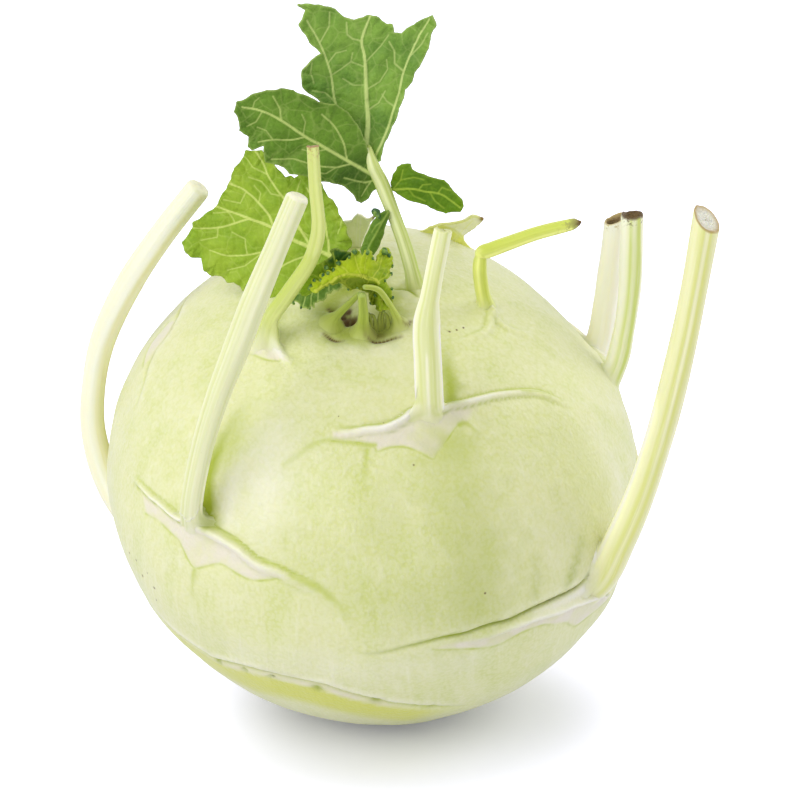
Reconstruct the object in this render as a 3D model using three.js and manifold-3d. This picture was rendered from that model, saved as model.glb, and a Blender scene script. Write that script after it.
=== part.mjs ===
import * as THREE from 'three';
import { mergeVertices } from 'three/addons/utils/BufferGeometryUtils.js';
import Module from 'manifold-3d';

// A kohlrabi as sold: one swollen stem, its leaf stalks cut short, and a tuft of young
// leaves on the crown. It leans forward on a small flat spot. Millimetres, +Z up, the
// front is -Y, and the origin is the middle of the flat spot.

// The bulb
const bulbRadius = 50;
const crownHeight = 42;
const rootDepth = 47;
const leanForward = THREE.MathUtils.degToRad(26);
const leanLeft = THREE.MathUtils.degToRad(3);
const bulbCentre = new THREE.Vector3(-1.3, 0.6, 46.3);
const floorHeight = 0;
const meridians = 56;
const parallels = 36;

// Swellings of the bulb: degrees from the crown, degrees round it from the front
// towards the right, and height
const swellSpread = THREE.MathUtils.degToRad(30);
const swellings = [
  [95, 90, 0.6],
  [65, 120, -2.1],
  [45, 160, 0.9],
  [50, -145, 0.6],
  [75, -105, 1.1],
  [125, -40, -0.9],
  [120, 55, 1.4],
];

// Stalks and leaves
const gap = 0.3;
const bladeThickness = 0.8;
const stalkSides = 8;
const stalkSteps = 12;
const bladeColumns = 6;
const bladeRows = 12;
const front = new THREE.Vector3(0, -1, 0);

const paleSkin = { color: 0xdadeac, roughness: 0.42, metalness: 0 };
const creamStalk = { color: 0xf3f2c6, roughness: 0.4, metalness: 0 };
const greenStalk = { color: 0xdbe28a, roughness: 0.4, metalness: 0 };
const tornSkin = { color: 0xe6e6bc, roughness: 0.6, metalness: 0 };
const leafGreen = { color: 0x6f9443, roughness: 0.5, metalness: 0 };
const youngGreen = { color: 0x9cb325, roughness: 0.5, metalness: 0 };

const wasm = await Module();
wasm.setup();

function toSolid(geometry) {
  const plain = geometry.clone();
  plain.deleteAttribute('normal');
  plain.deleteAttribute('uv');
  const merged = mergeVertices(plain);
  const mesh = new wasm.Mesh({
    numProp: 3,
    vertProperties: new Float32Array(merged.attributes.position.array),
    triVerts: new Uint32Array(merged.index.array),
  });
  return new wasm.Manifold(mesh);
}

function toGeometry(solid) {
  const mesh = solid.getMesh();
  const geometry = new THREE.BufferGeometry();
  geometry.setAttribute('position', new THREE.BufferAttribute(mesh.vertProperties, 3));
  geometry.setIndex(new THREE.BufferAttribute(mesh.triVerts, 1));
  geometry.computeVertexNormals();
  return geometry;
}

// Moves every vertex of a geometry to where place() puts it
function reshape(geometry, place) {
  const position = geometry.attributes.position;
  const vertex = new THREE.Vector3();
  for (let i = 0; i < position.count; i += 1) {
    vertex.fromBufferAttribute(position, i);
    const moved = place(vertex);
    position.setXYZ(i, moved.x, moved.y, moved.z);
  }
  return geometry;
}

const crownAxis = new THREE.Vector3(
  -Math.sin(leanLeft),
  -Math.sin(leanForward) * Math.cos(leanLeft),
  Math.cos(leanForward) * Math.cos(leanLeft),
);
const bulbFront = front.clone().projectOnPlane(crownAxis).normalize();
const bulbRight = new THREE.Vector3().crossVectors(crownAxis, bulbFront);

function bulbDirection(down, around) {
  const sideways = Math.sin(down);
  return crownAxis.clone().multiplyScalar(Math.cos(down))
    .addScaledVector(bulbFront, sideways * Math.cos(around))
    .addScaledVector(bulbRight, sideways * Math.sin(around));
}

const swells = swellings.map(([down, around, height]) => ({
  direction: bulbDirection(THREE.MathUtils.degToRad(down), THREE.MathUtils.degToRad(around)),
  height,
}));

// An ellipsoid that is taller below its waist than above it, with broad swellings
function bulbReach(direction) {
  const rise = direction.dot(crownAxis);
  const waist = Math.sqrt(Math.max(0, 1 - rise * rise));
  const poleReach = rise > 0 ? crownHeight : rootDepth;
  let reach = 1 / Math.hypot(waist / bulbRadius, rise / poleReach);
  for (const swell of swells) {
    const away = direction.angleTo(swell.direction) / swellSpread;
    reach += swell.height * Math.exp(-away * away);
  }
  return reach;
}

function bulb(grow) {
  const floor = floorHeight - grow;
  return reshape(new THREE.SphereGeometry(1, meridians, parallels), (vertex) => {
    const direction = new THREE.Vector3()
      .addScaledVector(bulbRight, vertex.x)
      .addScaledVector(crownAxis, vertex.y)
      .addScaledVector(bulbFront, vertex.z)
      .normalize();
    const point = direction.clone().multiplyScalar(bulbReach(direction) + grow).add(bulbCentre);
    point.z = Math.max(point.z, floor);
    return point;
  });
}

function curveThrough(points) {
  return new THREE.CatmullRomCurve3(points.map((point) => new THREE.Vector3(...point)));
}

// The value at t, 0 to 1, along a list of evenly spaced values
function along(values, t) {
  const place = t * (values.length - 1);
  const i = Math.min(Math.floor(place), values.length - 2);
  return THREE.MathUtils.lerp(values[i], values[i + 1], place - i);
}

// A stalk along a curve: widths are its diameters from foot to tip, flatness is its
// thickness over its width, and cut is how far its end slopes to the side and forwards
function stalk({ path, widths, flatness = 1, cut = [0, 0] }, grow = 0) {
  const curve = curveThrough(path);
  return reshape(new THREE.CylinderGeometry(1, 1, 1, stalkSides, stalkSteps), (vertex) => {
    const t = THREE.MathUtils.clamp(vertex.y + 0.5, 0, 1);
    const tangent = curve.getTangent(t);
    const side = new THREE.Vector3().crossVectors(tangent, front).normalize();
    const outward = new THREE.Vector3().crossVectors(side, tangent);
    const radius = along(widths, t) / 2 + grow;
    const slope = t === 1 ? (cut[0] * vertex.x + cut[1] * vertex.z) * radius : 0;
    return curve.getPoint(t)
      .addScaledVector(side, vertex.x * radius)
      .addScaledVector(outward, vertex.z * radius * flatness)
      .addScaledVector(tangent, slope);
  });
}

// A leaf blade over a net of points, row by row from its foot to its tip. A net point is
// [x, z] where depth(x, z) gives y, and [x, y, z] where there is no depth.
function blade({ net, depth }) {
  const rows = net.map((row) => row.map((point) => (
    depth ? new THREE.Vector3(point[0], 0, point[1]) : new THREE.Vector3(...point)
  )));
  const columnCurves = rows[0].map((_, column) => (
    new THREE.CatmullRomCurve3(rows.map((row) => row[column]))
  ));
  const surface = (u, v) => {
    const acrossCurve = new THREE.CatmullRomCurve3(columnCurves.map((curve) => curve.getPoint(v)));
    const point = acrossCurve.getPoint(u);
    if (depth) point.y = depth(point.x, point.z);
    return point;
  };
  const step = 0.02;
  const box = new THREE.BoxGeometry(1, 1, 1, bladeColumns, bladeRows, 1);
  return reshape(box, (vertex) => {
    const u = THREE.MathUtils.clamp(vertex.x + 0.5, 0, 1);
    const v = THREE.MathUtils.clamp(vertex.y + 0.5, 0, 1);
    const [left, right] = [Math.max(u - step, 0), Math.min(u + step, 1)];
    const [low, high] = [Math.max(v - step, 0), Math.min(v + step, 1)];
    const across = surface(right, v).sub(surface(left, v));
    const upward = surface(u, high).sub(surface(u, low));
    const normal = across.cross(upward).normalize();
    return surface(u, v).addScaledVector(normal, vertex.z * bladeThickness);
  });
}

const leafStalks = {
  stalk_left_outer: {
    path: [[-47, 8, 33], [-52.5, 9, 41], [-55, 9, 51], [-55.2, 8, 61.5], [-53, 6.5, 71.5],
      [-48.7, 5, 82], [-42.5, 3.5, 92], [-33.5, 2, 101.8]],
    widths: [7, 5.2, 4.6, 4.5, 4.8, 5, 4.8, 4.5],
    skin: creamStalk,
  },
  stalk_left_front: {
    path: [[-32.5, -30, 45], [-32.5, -38.5, 54], [-30.5, -42, 65.5], [-28, -44, 75.5],
      [-25, -45, 85], [-21.5, -46, 94.5], [-17.5, -46.5, 104], [-13.5, -47, 112.5]],
    widths: [8, 4.8, 4.4, 4.6, 5.2, 4.6, 4.2, 4],
    skin: creamStalk,
  },
  stalk_left_inner: {
    path: [[-21, -16, 75], [-19.5, -23.5, 83.5], [-16, -26, 89.5], [-12.5, -27, 95],
      [-11, -27.5, 99], [-10.5, -27.5, 103], [-11, -27, 108.5], [-11.5, -26, 115.5]],
    widths: [7, 3, 2.8, 2.7, 2.6, 2.4, 2.3, 2.1],
    skin: greenStalk,
  },
  stalk_front: {
    path: [[9, -29, 66], [8.5, -37, 73], [8.5, -40, 81.5], [8.5, -41.5, 89.5],
      [9.5, -42.5, 97], [11, -43, 105]],
    widths: [8.5, 5.2, 4.9, 4.4, 3.5, 3],
    flatness: 0.7,
    skin: greenStalk,
  },
  stalk_bent: {
    path: [[20.5, -7, 79], [19, -14, 85.5], [18, -17, 90.5], [18.2, -18, 94.3],
      [20.5, -18, 95.8], [26.5, -18.5, 98], [34.5, -20, 100]],
    widths: [5, 2.9, 2.7, 2.6, 2.4, 2.1, 1.9],
    skin: greenStalk,
  },
  stalk_right_back: {
    path: [[37.5, 14, 56], [41.5, 14.5, 66.5], [42.7, 14, 75], [43.3, 13, 83], [44.3, 12, 92.5]],
    widths: [6, 4.6, 4.6, 4.6, 4.4],
    skin: creamStalk,
  },
  stalk_right_green: {
    path: [[40, 2, 58], [45, 1.5, 66.5], [46.7, 0.7, 74], [47.5, 0, 82], [47, -1, 90],
      [46.5, -2, 97]],
    widths: [6, 3.4, 3.2, 3.6, 3.9, 3.6],
    skin: greenStalk,
  },
  stalk_right_front: {
    path: [[36.5, -18, 26], [42, -25, 34], [44.7, -29, 43], [48, -31, 54], [51, -32.5, 67],
      [53.5, -33.5, 80.5], [55.5, -34.5, 93.5], [57, -35, 105.5]],
    widths: [9, 6.6, 5.8, 5.5, 5.1, 4.8, 4.7, 4.8],
    cut: [-0.5, -0.6],
    skin: creamStalk,
  },
  leaf_petiole: {
    path: [[7.5, -7, 81], [6, -13.5, 90], [4.5, -14, 95.5], [2.5, -13, 101], [0.5, -12, 106],
      [-1, -12, 109.3]],
    widths: [4.5, 2.7, 2.4, 2.2, 2, 1.6],
    skin: greenStalk,
  },
  left_leaf_petiole: {
    path: [[-4.5, -8, 84], [-6, -12, 88], [-7, -13.4, 90], [-8, -14, 91.5]],
    widths: [3, 2, 1.8, 1.6],
    skin: greenStalk,
  },
  crown_sprout_left: {
    path: [[-6.5, -15, 79], [-6.3, -20, 83], [-5.5, -23, 86], [-4.5, -24.5, 88]],
    widths: [3.5, 2, 1.6, 1.4],
    skin: greenStalk,
  },
  crown_sprout_middle: {
    path: [[-3, -18, 78], [-3, -24.5, 84], [-2.6, -26.5, 88.3]],
    widths: [4, 2.4, 1.9],
    skin: greenStalk,
  },
  crown_sprout_right: {
    path: [[4, -16, 79], [3, -23.5, 85], [1.5, -26, 88.5], [0, -27, 90.5], [-1.5, -27.5, 91]],
    widths: [3, 2, 1.8, 1.6, 1.5],
    skin: greenStalk,
  },
};

const leafBlades = {
  leaf_end_lobe: {
    depth: (x, z) => -12 + 0.3 * (z - 110) - 0.006 * (z - 110) ** 2 - 0.012 * (x + 2) ** 2,
    net: [
      [[-1.8, 110], [-1.4, 110], [-1, 110], [-0.6, 110], [-0.2, 110.2]],
      [[-5, 113.5], [-3.5, 113.5], [-2, 113], [-0.5, 112.5], [1.5, 113.5]],
      [[-8.5, 117.5], [-6, 118], [-2, 117], [1, 116], [2.5, 117]],
      [[-12.5, 122], [-8, 121], [-2, 121], [2.5, 119.5], [4, 121]],
      [[-14, 124.5], [-8.5, 125], [-2.5, 125], [4, 123.5], [6, 124.5]],
      [[-10.5, 129], [-7.5, 129.5], [-2.5, 129], [4.5, 128], [8.5, 128.5]],
      [[-14, 134.5], [-9.5, 134], [-3, 132.5], [5, 132], [9.5, 132]],
      [[-13, 138.5], [-7, 137], [-2, 136], [4, 133.5], [10, 136.5]],
    ],
    near: ['leaf_petiole'],
    skin: leafGreen,
  },
  leaf_left_lobe: {
    depth: (x) => -12.5 + 0.35 * x + 0.008 * x * x,
    net: [
      [[0.3, 108.7], [0.5, 107.4], [0.3, 106.1]],
      [[-2.5, 114], [-3, 109], [-2, 103.5]],
      [[-4.5, 118.5], [-6, 111], [-5, 105]],
      [[-8.5, 121.5], [-10, 113.5], [-10, 107]],
      [[-13, 123], [-13.5, 116], [-14.5, 108.5]],
      [[-17.5, 124.5], [-17.5, 118.5], [-20.5, 111.5]],
      [[-22, 123.5], [-21, 120.5], [-23.5, 115]],
      [[-25.5, 122], [-25.5, 121], [-25.5, 120]],
    ],
    near: ['leaf_petiole'],
    skin: leafGreen,
  },
  leaf_right_leaflet: {
    depth: (x, z) => -12 - 0.25 * (x - 3) + 0.02 * (z - 103) ** 2,
    net: [
      [[1.8, 105.2], [1.8, 104.6], [2, 104]],
      [[3.5, 108], [5, 105], [5.5, 103]],
      [[6, 109.5], [8, 105], [8, 102.5]],
      [[10, 107.5], [11, 104.5], [11, 101]],
      [[13.5, 105.5], [13, 103.5], [13.5, 101.5]],
      [[15, 103], [15, 102.5], [15, 102]],
    ],
    near: ['leaf_petiole'],
    skin: leafGreen,
  },
  leaf_folded_leaflet: {
    net: [
      [[0.3, -15, 102], [1.6, -14.4, 101.8], [2.9, -15, 101.4]],
      [[-1.2, -15.5, 99.6], [0.2, -14.6, 99.2], [1.6, -15.5, 98.8]],
      [[-2.5, -16, 97], [-1, -15.1, 96.5], [0.5, -16, 96]],
      [[-3.5, -16.5, 94.5], [-2, -15.8, 94], [-0.5, -16.4, 93.5]],
    ],
    near: ['leaf_petiole'],
    skin: leafGreen,
  },
  left_leaf_blade: {
    depth: (x, z) => -14 - 0.35 * (x + 9) + 0.15 * (z - 92) + 0.006 * (z - 97) ** 2,
    net: [
      [[-8, 92.5], [-8.5, 92], [-9, 91]],
      [[-5, 96], [-12, 94], [-13, 87]],
      [[-8, 103], [-16, 95.5], [-19.5, 83]],
      [[-11, 106], [-19.5, 97], [-25, 84.5]],
      [[-16, 109], [-24, 98], [-28, 86.5]],
      [[-23.5, 110.5], [-28, 99.5], [-32.5, 88.5]],
      [[-28.8, 104.2], [-31.5, 98.3], [-34.3, 90.3]],
      [[-34.8, 96.5], [-35.6, 94.8], [-36.5, 92.5]],
    ],
    near: ['left_leaf_petiole'],
    skin: leafGreen,
  },
  young_leaf_blade: {
    depth: (x, z) => -27 + 0.9 * Math.max(x + 2, 0) + 0.5 * Math.max(z - 91, 0),
    net: [
      [[3, 90.5], [1.5, 89.5], [0, 87]],
      [[3, 95], [0, 91.5], [-1.5, 89]],
      [[0.5, 96], [-2, 92.5], [-3, 90.5]],
      [[-3, 97], [-5, 93], [-5, 91]],
      [[-6.5, 95], [-7.5, 93], [-7.5, 91]],
      [[-10, 93], [-10.5, 91.5], [-10, 90.5]],
      [[-12.5, 90.5], [-12.5, 90], [-12, 89.5]],
    ],
    near: ['crown_sprout_right', 'crown_sprout_middle'],
    skin: youngGreen,
  },
  young_leaf_dark: {
    depth: (x, z) => -21 - 0.25 * (x + 8) + 0.3 * (z - 86),
    net: [
      [[-5.5, 89.5], [-6, 89], [-6, 88.4]],
      [[-9, 90], [-8.5, 88.5], [-8, 87.5]],
      [[-11.5, 88.5], [-11, 87.5], [-10.5, 86]],
      [[-14, 86.5], [-13.5, 85.5], [-13, 84.5]],
      [[-16, 85.5], [-16, 85], [-15.5, 84.5]],
    ],
    near: ['crown_sprout_left'],
    skin: leafGreen,
  },
  torn_stub_right: {
    net: [
      [[8.5, 12, 85.5], [12.5, 12, 85], [17, 12, 83]],
      [[10, 14.5, 88.8], [13, 15, 87.8], [16, 14.5, 86.4]],
      [[12.5, 15, 91], [15, 15.8, 89.9], [17.5, 14, 89]],
      [[17.5, 13, 93], [18.7, 13.5, 92.5], [20, 13, 92]],
    ],
    near: [],
    skin: tornSkin,
  },
  torn_stub_middle: {
    net: [
      [[-5.5, 3, 87], [-4, 3, 87], [-2.5, 3, 87]],
      [[-4.5, 0, 92.5], [-3, 1, 92.5], [-1.5, 0, 93.5]],
      [[-4.3, -1, 95.5], [-3, 0, 95], [-1.5, -1, 96]],
      [[-4.2, -2, 97], [-3.2, -1.5, 96.5], [-2, -2, 97]],
    ],
    near: [],
    skin: tornSkin,
  },
};

const kohlrabi = new THREE.Group();

function addPiece(name, geometry, skin) {
  const mesh = new THREE.Mesh(geometry, new THREE.MeshStandardMaterial(skin));
  mesh.name = name;
  kohlrabi.add(mesh);
}

addPiece('bulb', bulb(0), paleSkin);

const bulbClearance = toSolid(bulb(gap));
for (const [name, shape] of Object.entries(leafStalks)) {
  const solid = toSolid(stalk(shape)).subtract(bulbClearance);
  addPiece(name, toGeometry(solid), shape.skin);
}

for (const [name, shape] of Object.entries(leafBlades)) {
  let solid = toSolid(blade(shape)).subtract(bulbClearance);
  for (const neighbour of shape.near) {
    solid = solid.subtract(toSolid(stalk(leafStalks[neighbour], gap)));
  }
  addPiece(name, toGeometry(solid), shape.skin);
}

export default kohlrabi;
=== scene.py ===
import math

import bmesh
import bpy
import numpy as np
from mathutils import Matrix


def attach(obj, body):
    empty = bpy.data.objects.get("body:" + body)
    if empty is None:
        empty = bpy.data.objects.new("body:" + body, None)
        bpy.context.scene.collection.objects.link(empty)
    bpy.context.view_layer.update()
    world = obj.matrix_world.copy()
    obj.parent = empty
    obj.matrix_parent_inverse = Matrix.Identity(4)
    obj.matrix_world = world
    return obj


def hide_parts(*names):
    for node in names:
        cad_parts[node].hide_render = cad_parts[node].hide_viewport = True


# A kohlrabi on a pale floor. Shapes are worked out in millimetres in the frame's axes
# (front -Y, up +Z) and made in metres. A place on the bulb is a pair of angles: how far
# down from the crown, and how far round it from the front towards the right.

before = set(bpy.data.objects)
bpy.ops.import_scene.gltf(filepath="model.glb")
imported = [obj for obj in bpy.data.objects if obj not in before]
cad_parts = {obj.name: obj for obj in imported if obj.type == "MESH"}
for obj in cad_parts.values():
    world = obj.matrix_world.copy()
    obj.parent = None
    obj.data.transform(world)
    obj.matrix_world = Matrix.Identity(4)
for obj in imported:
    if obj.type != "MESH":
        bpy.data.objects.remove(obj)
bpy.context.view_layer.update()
mm = 0.001


def unit(v):
    v = np.asarray(v, float)
    return v / np.maximum(np.linalg.norm(v, axis=-1, keepdims=True), 1e-12)


def smoothStep(x, low, high):
    t = np.clip((x - low) / (high - low), 0.0, 1.0)
    return t * t * (3.0 - 2.0 * t)


def spline(points, t):
    # smooth curve through the points, with t from 0 to 1
    p = np.asarray(points, float)
    p = np.concatenate([[2 * p[0] - p[1]], p, [2 * p[-1] - p[-2]]])
    s = np.clip(np.asarray(t, float), 0.0, 1.0) * (len(p) - 3)
    i = np.minimum(s.astype(int), len(p) - 4)
    f = (s - i)[..., None]
    a, b, c, d = p[i], p[i + 1], p[i + 2], p[i + 3]
    return 0.5 * (2 * b + (c - a) * f + (2 * a - 5 * b + 4 * c - d) * f ** 2
                  + (3 * b - a - 3 * c + d) * f ** 3)


def alongList(values, t):
    return np.interp(t, np.linspace(0, 1, len(values)), values)


def ripple(t, seed, waves=5):
    # an irregular wave between about -1 and 1, with t in cycles
    r = np.random.default_rng(seed)
    total = 0.0
    for k in range(waves):
        total = total + r.uniform(0.5, 1.0) / (1 + 0.6 * k) * np.sin(
            2 * math.pi * (1 + 0.83 * k) * t + r.uniform(0, 6.28))
    return total / 2.0


def lumps(points, size, seed, waves=24):
    # a soft irregular field over points in space, between about -1 and 1
    r = np.random.default_rng(seed)
    total = np.zeros(len(points))
    for k in range(waves):
        way = unit(r.normal(size=3)) * 2 * math.pi / (size * r.uniform(0.6, 1.6))
        total += np.sin(points @ way + r.uniform(0, 6.28))
    return total / math.sqrt(waves / 2) / 1.6


def nearest(points, line):
    # for each point: distance to the line, how far along the line from 0 to 1, the
    # nearest spot on the line and the line's direction there
    line = np.asarray(line, float)
    seg = line[1:] - line[:-1]
    length = np.linalg.norm(seg, axis=1)
    start = np.concatenate([[0], np.cumsum(length)])
    best = np.full(len(points), np.inf)
    where = np.zeros(len(points))
    spot = np.zeros_like(points)
    way = np.zeros_like(points)
    for a, s, l, d0 in zip(line[:-1], seg, length, start):
        f = np.clip(((points - a) @ s) / max(l * l, 1e-12), 0, 1)
        q = a + f[:, None] * s
        d = np.linalg.norm(points - q, axis=1)
        closer = d < best
        best[closer] = d[closer]
        where[closer] = ((d0 + f * l) / start[-1])[closer]
        spot[closer] = q[closer]
        way[closer] = s / max(l, 1e-12)
    return best, where, spot, way


def insideOutline(points, outline):
    x, z = points[:, 0], points[:, 1]
    inside = np.zeros(len(points), bool)
    a = np.asarray(outline, float)
    for (x0, z0), (x1, z1) in zip(a, np.roll(a, -1, axis=0)):
        if z0 != z1:
            crosses = (z0 > z) != (z1 > z)
            inside ^= crosses & (x < (x1 - x0) * (z - z0) / (z1 - z0) + x0)
    return inside


def getPoints(mesh):
    co = np.zeros(len(mesh.vertices) * 3)
    mesh.vertices.foreach_get("co", co)
    return co.reshape(-1, 3)


def setPoints(mesh, points):
    mesh.vertices.foreach_set("co", np.ascontiguousarray(points, float).ravel())
    mesh.update()


def setMask(mesh, name, values):
    attribute = mesh.attributes.new(name, "FLOAT", "POINT")
    attribute.data.foreach_set("value", np.ascontiguousarray(values, np.float32))


def setVector(mesh, name, values):
    attribute = mesh.attributes.new(name, "FLOAT_VECTOR", "POINT")
    attribute.data.foreach_set("vector", np.ascontiguousarray(values, np.float32).ravel())


def meshFrom(bm, name):
    mesh = bpy.data.meshes.new(name)
    bm.to_mesh(mesh)
    bm.free()
    return mesh


def gridMesh(name, columns, rows):
    # a flat grid from 0 to 1 both ways
    bm = bmesh.new()
    bmesh.ops.create_grid(bm, x_segments=columns, y_segments=rows, size=0.5)
    mesh = meshFrom(bm, name)
    setPoints(mesh, getPoints(mesh) + (0.5, 0.5, 0.0))
    return mesh


def weld(mesh, distance=2e-6):
    bm = bmesh.new()
    bm.from_mesh(mesh)
    bmesh.ops.remove_doubles(bm, verts=bm.verts, dist=distance)
    bmesh.ops.dissolve_degenerate(bm, edges=bm.edges, dist=distance * 0.1)
    bmesh.ops.recalc_face_normals(bm, faces=bm.faces)
    bm.to_mesh(mesh)
    bm.free()


def makePiece(mesh, material, nodes):
    mesh.polygons.foreach_set("use_smooth", np.ones(len(mesh.polygons), bool))
    piece = bpy.data.objects.new(mesh.name, mesh)
    bpy.context.scene.collection.objects.link(piece)
    mesh.materials.append(material)
    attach(piece, "root")
    if nodes:
        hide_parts(*nodes)
    return piece


# Camera, light and floor

view = {
    "lookAt": (3.85, 0.6, 60.2),
    "distance": 569,
    "height": 19,               # degrees above level
    "lens": 135,
    "worldLevel": 0.66,
    "lamps": (
        {"name": "softbox", "place": (-520, -420, 560), "size": 620, "power": 3.3},
        {"name": "fill", "place": (560, 200, 380), "size": 520, "power": 1.6},
    ),
    "floorGlow": (0.15, 0.95),      # under the kohlrabi and far from it
    "glowMiddle": (8, -14),
    "glowReach": (22, 62),
}


def addCamera():
    camera = bpy.data.objects.new("camera", bpy.data.cameras.new("camera"))
    camera.data.lens = view["lens"]
    camera.data.sensor_width = 36
    tip = math.radians(view["height"])
    away = np.array((0, -math.cos(tip), math.sin(tip))) * view["distance"]
    camera.location = (np.array(view["lookAt"]) + away) * mm
    camera.rotation_euler = (math.radians(90 - view["height"]), 0, 0)
    bpy.context.scene.collection.objects.link(camera)
    bpy.context.scene.camera = camera


def addLight():
    world = bpy.data.worlds.new("studio")
    bpy.context.scene.world = world
    world.use_nodes = True
    tree = world.node_tree
    background = tree.nodes["Background"]
    background.inputs["Color"].default_value = (1, 1, 1, 1)
    rays = tree.nodes.new("ShaderNodeLightPath")
    seen = None
    for name in ("Is Camera Ray", "Is Glossy Ray", "Is Transmission Ray"):
        if seen is None:
            seen = rays.outputs[name]
            continue
        add = tree.nodes.new("ShaderNodeMath")
        add.operation = "MAXIMUM"
        tree.links.new(seen, add.inputs[0])
        tree.links.new(rays.outputs[name], add.inputs[1])
        seen = add.outputs[0]
    level = tree.nodes.new("ShaderNodeMapRange")
    level.inputs["To Min"].default_value = view["worldLevel"]
    level.inputs["To Max"].default_value = 1.0
    tree.links.new(seen, level.inputs["Value"])
    tree.links.new(level.outputs["Result"], background.inputs["Strength"])

    for lamp in view["lamps"]:
        light = bpy.data.lights.new(lamp["name"], "AREA")
        light.size = lamp["size"] * mm
        light.energy = lamp["power"]
        box = bpy.data.objects.new(lamp["name"], light)
        place = np.array(lamp["place"], float)
        box.location = place * mm
        aim = unit(place - np.array((0, 0, 50.0)))
        box.rotation_euler = (math.acos(aim[2]), 0, math.atan2(aim[0], -aim[1]))
        bpy.context.scene.collection.objects.link(box)


def addFloor():
    bm = bmesh.new()
    bmesh.ops.create_grid(bm, x_segments=2, y_segments=2, size=3.0)
    bmesh.ops.translate(bm, verts=bm.verts, vec=(0, 1.2, -0.0001))
    floor = bpy.data.objects.new("floor", meshFrom(bm, "floor"))
    bpy.context.scene.collection.objects.link(floor)
    paper = bpy.data.materials.new("paper")
    paper.use_nodes = True
    tree = paper.node_tree
    shader = tree.nodes["Principled BSDF"]
    # the paper and its glow are tinted blue to cancel the yellow light the kohlrabi throws on the floor
    shader.inputs["Base Color"].default_value = (0.87, 0.87, 0.97, 1)
    shader.inputs["Roughness"].default_value = 0.9
    shader.inputs["Specular IOR Level"].default_value = 0.0
    shader.inputs["Emission Color"].default_value = (0.82, 0.82, 1, 1)
    rays = tree.nodes.new("ShaderNodeLightPath")
    place = tree.nodes.new("ShaderNodeTexCoord")
    away = tree.nodes.new("ShaderNodeVectorMath")
    away.operation = "DISTANCE"
    tree.links.new(place.outputs["Object"], away.inputs[0])
    away.inputs[1].default_value = (view["glowMiddle"][0] * mm, view["glowMiddle"][1] * mm, 0)
    level = tree.nodes.new("ShaderNodeMapRange")
    level.interpolation_type = "SMOOTHSTEP"
    level.inputs["From Min"].default_value = view["glowReach"][0] * mm
    level.inputs["From Max"].default_value = view["glowReach"][1] * mm
    level.inputs["To Min"].default_value = view["floorGlow"][0]
    level.inputs["To Max"].default_value = view["floorGlow"][1]
    tree.links.new(away.outputs["Value"], level.inputs["Value"])
    glow = tree.nodes.new("ShaderNodeMath")
    glow.operation = "MULTIPLY"
    tree.links.new(level.outputs["Result"], glow.inputs[1])
    tree.links.new(rays.outputs["Is Camera Ray"], glow.inputs[0])
    tree.links.new(glow.outputs[0], shader.inputs["Emission Strength"])
    floor.data.materials.append(paper)


bpy.context.scene.view_settings.view_transform = "Standard"
addCamera()
addLight()
addFloor()
print("camera, light and floor are set")


# Bulb

bulbShape = {
    "centre": (-1.3, 0.6, 46.3),
    "radius": 50,
    "crownHeight": 42,
    "rootDepth": 47,
    "leanForward": 26,
    "leanLeft": 3,
    "swellings": ((95, 90, 0.6), (65, 120, -2.1), (45, 160, 0.9), (50, -145, 0.6),
                  (75, -105, 1.1), (125, -40, -0.9), (120, 55, 1.4)),
    "swellSpread": 30,
    "meridians": 240,
    "parallels": 130,
    "refine": (2.3, 1.1, 0.55),     # mm from a ridge at which each finer mesh starts
    "uneven": ((16, 0.16), (6, 0.05)),
}
centre = np.array(bulbShape["centre"])
forward, left = math.radians(bulbShape["leanForward"]), math.radians(bulbShape["leanLeft"])
crownAxis = np.array((-math.sin(left), -math.sin(forward) * math.cos(left),
                      math.cos(forward) * math.cos(left)))
bulbFront = unit(np.array((0.0, -1.0, 0.0)) + crownAxis[1] * crownAxis)
bulbRight = np.cross(crownAxis, bulbFront)


def directionAt(down, around):
    down, around = np.radians(down), np.radians(around)
    return (np.multiply.outer(np.cos(down), crownAxis)
            + np.multiply.outer(np.sin(down) * np.cos(around), bulbFront)
            + np.multiply.outer(np.sin(down) * np.sin(around), bulbRight))


def anglesOf(directions):
    down = np.degrees(np.arccos(np.clip(directions @ crownAxis, -1, 1)))
    around = np.degrees(np.arctan2(directions @ bulbRight, directions @ bulbFront))
    return down, around


def plainReach(directions):
    rise = directions @ crownAxis
    waist = np.sqrt(np.maximum(0, 1 - rise * rise))
    pole = np.where(rise > 0, bulbShape["crownHeight"], bulbShape["rootDepth"])
    reach = 1 / np.hypot(waist / bulbShape["radius"], rise / pole)
    for down, around, height in bulbShape["swellings"]:
        turn = np.degrees(np.arccos(np.clip(directions @ directionAt(down, around), -1, 1)))
        reach = reach + height * np.exp(-(turn / bulbShape["swellSpread"]) ** 2)
    return reach


def onBulb(pairs, steps=0):
    # points on the plain bulb through pairs of angles, as a smooth line where steps is given
    pairs = np.asarray(pairs, float)
    if steps:
        pairs = spline(pairs, np.linspace(0, 1, steps))
    directions = directionAt(pairs[:, 0], pairs[:, 1])
    return centre + directions * plainReach(directions)[:, None]
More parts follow.
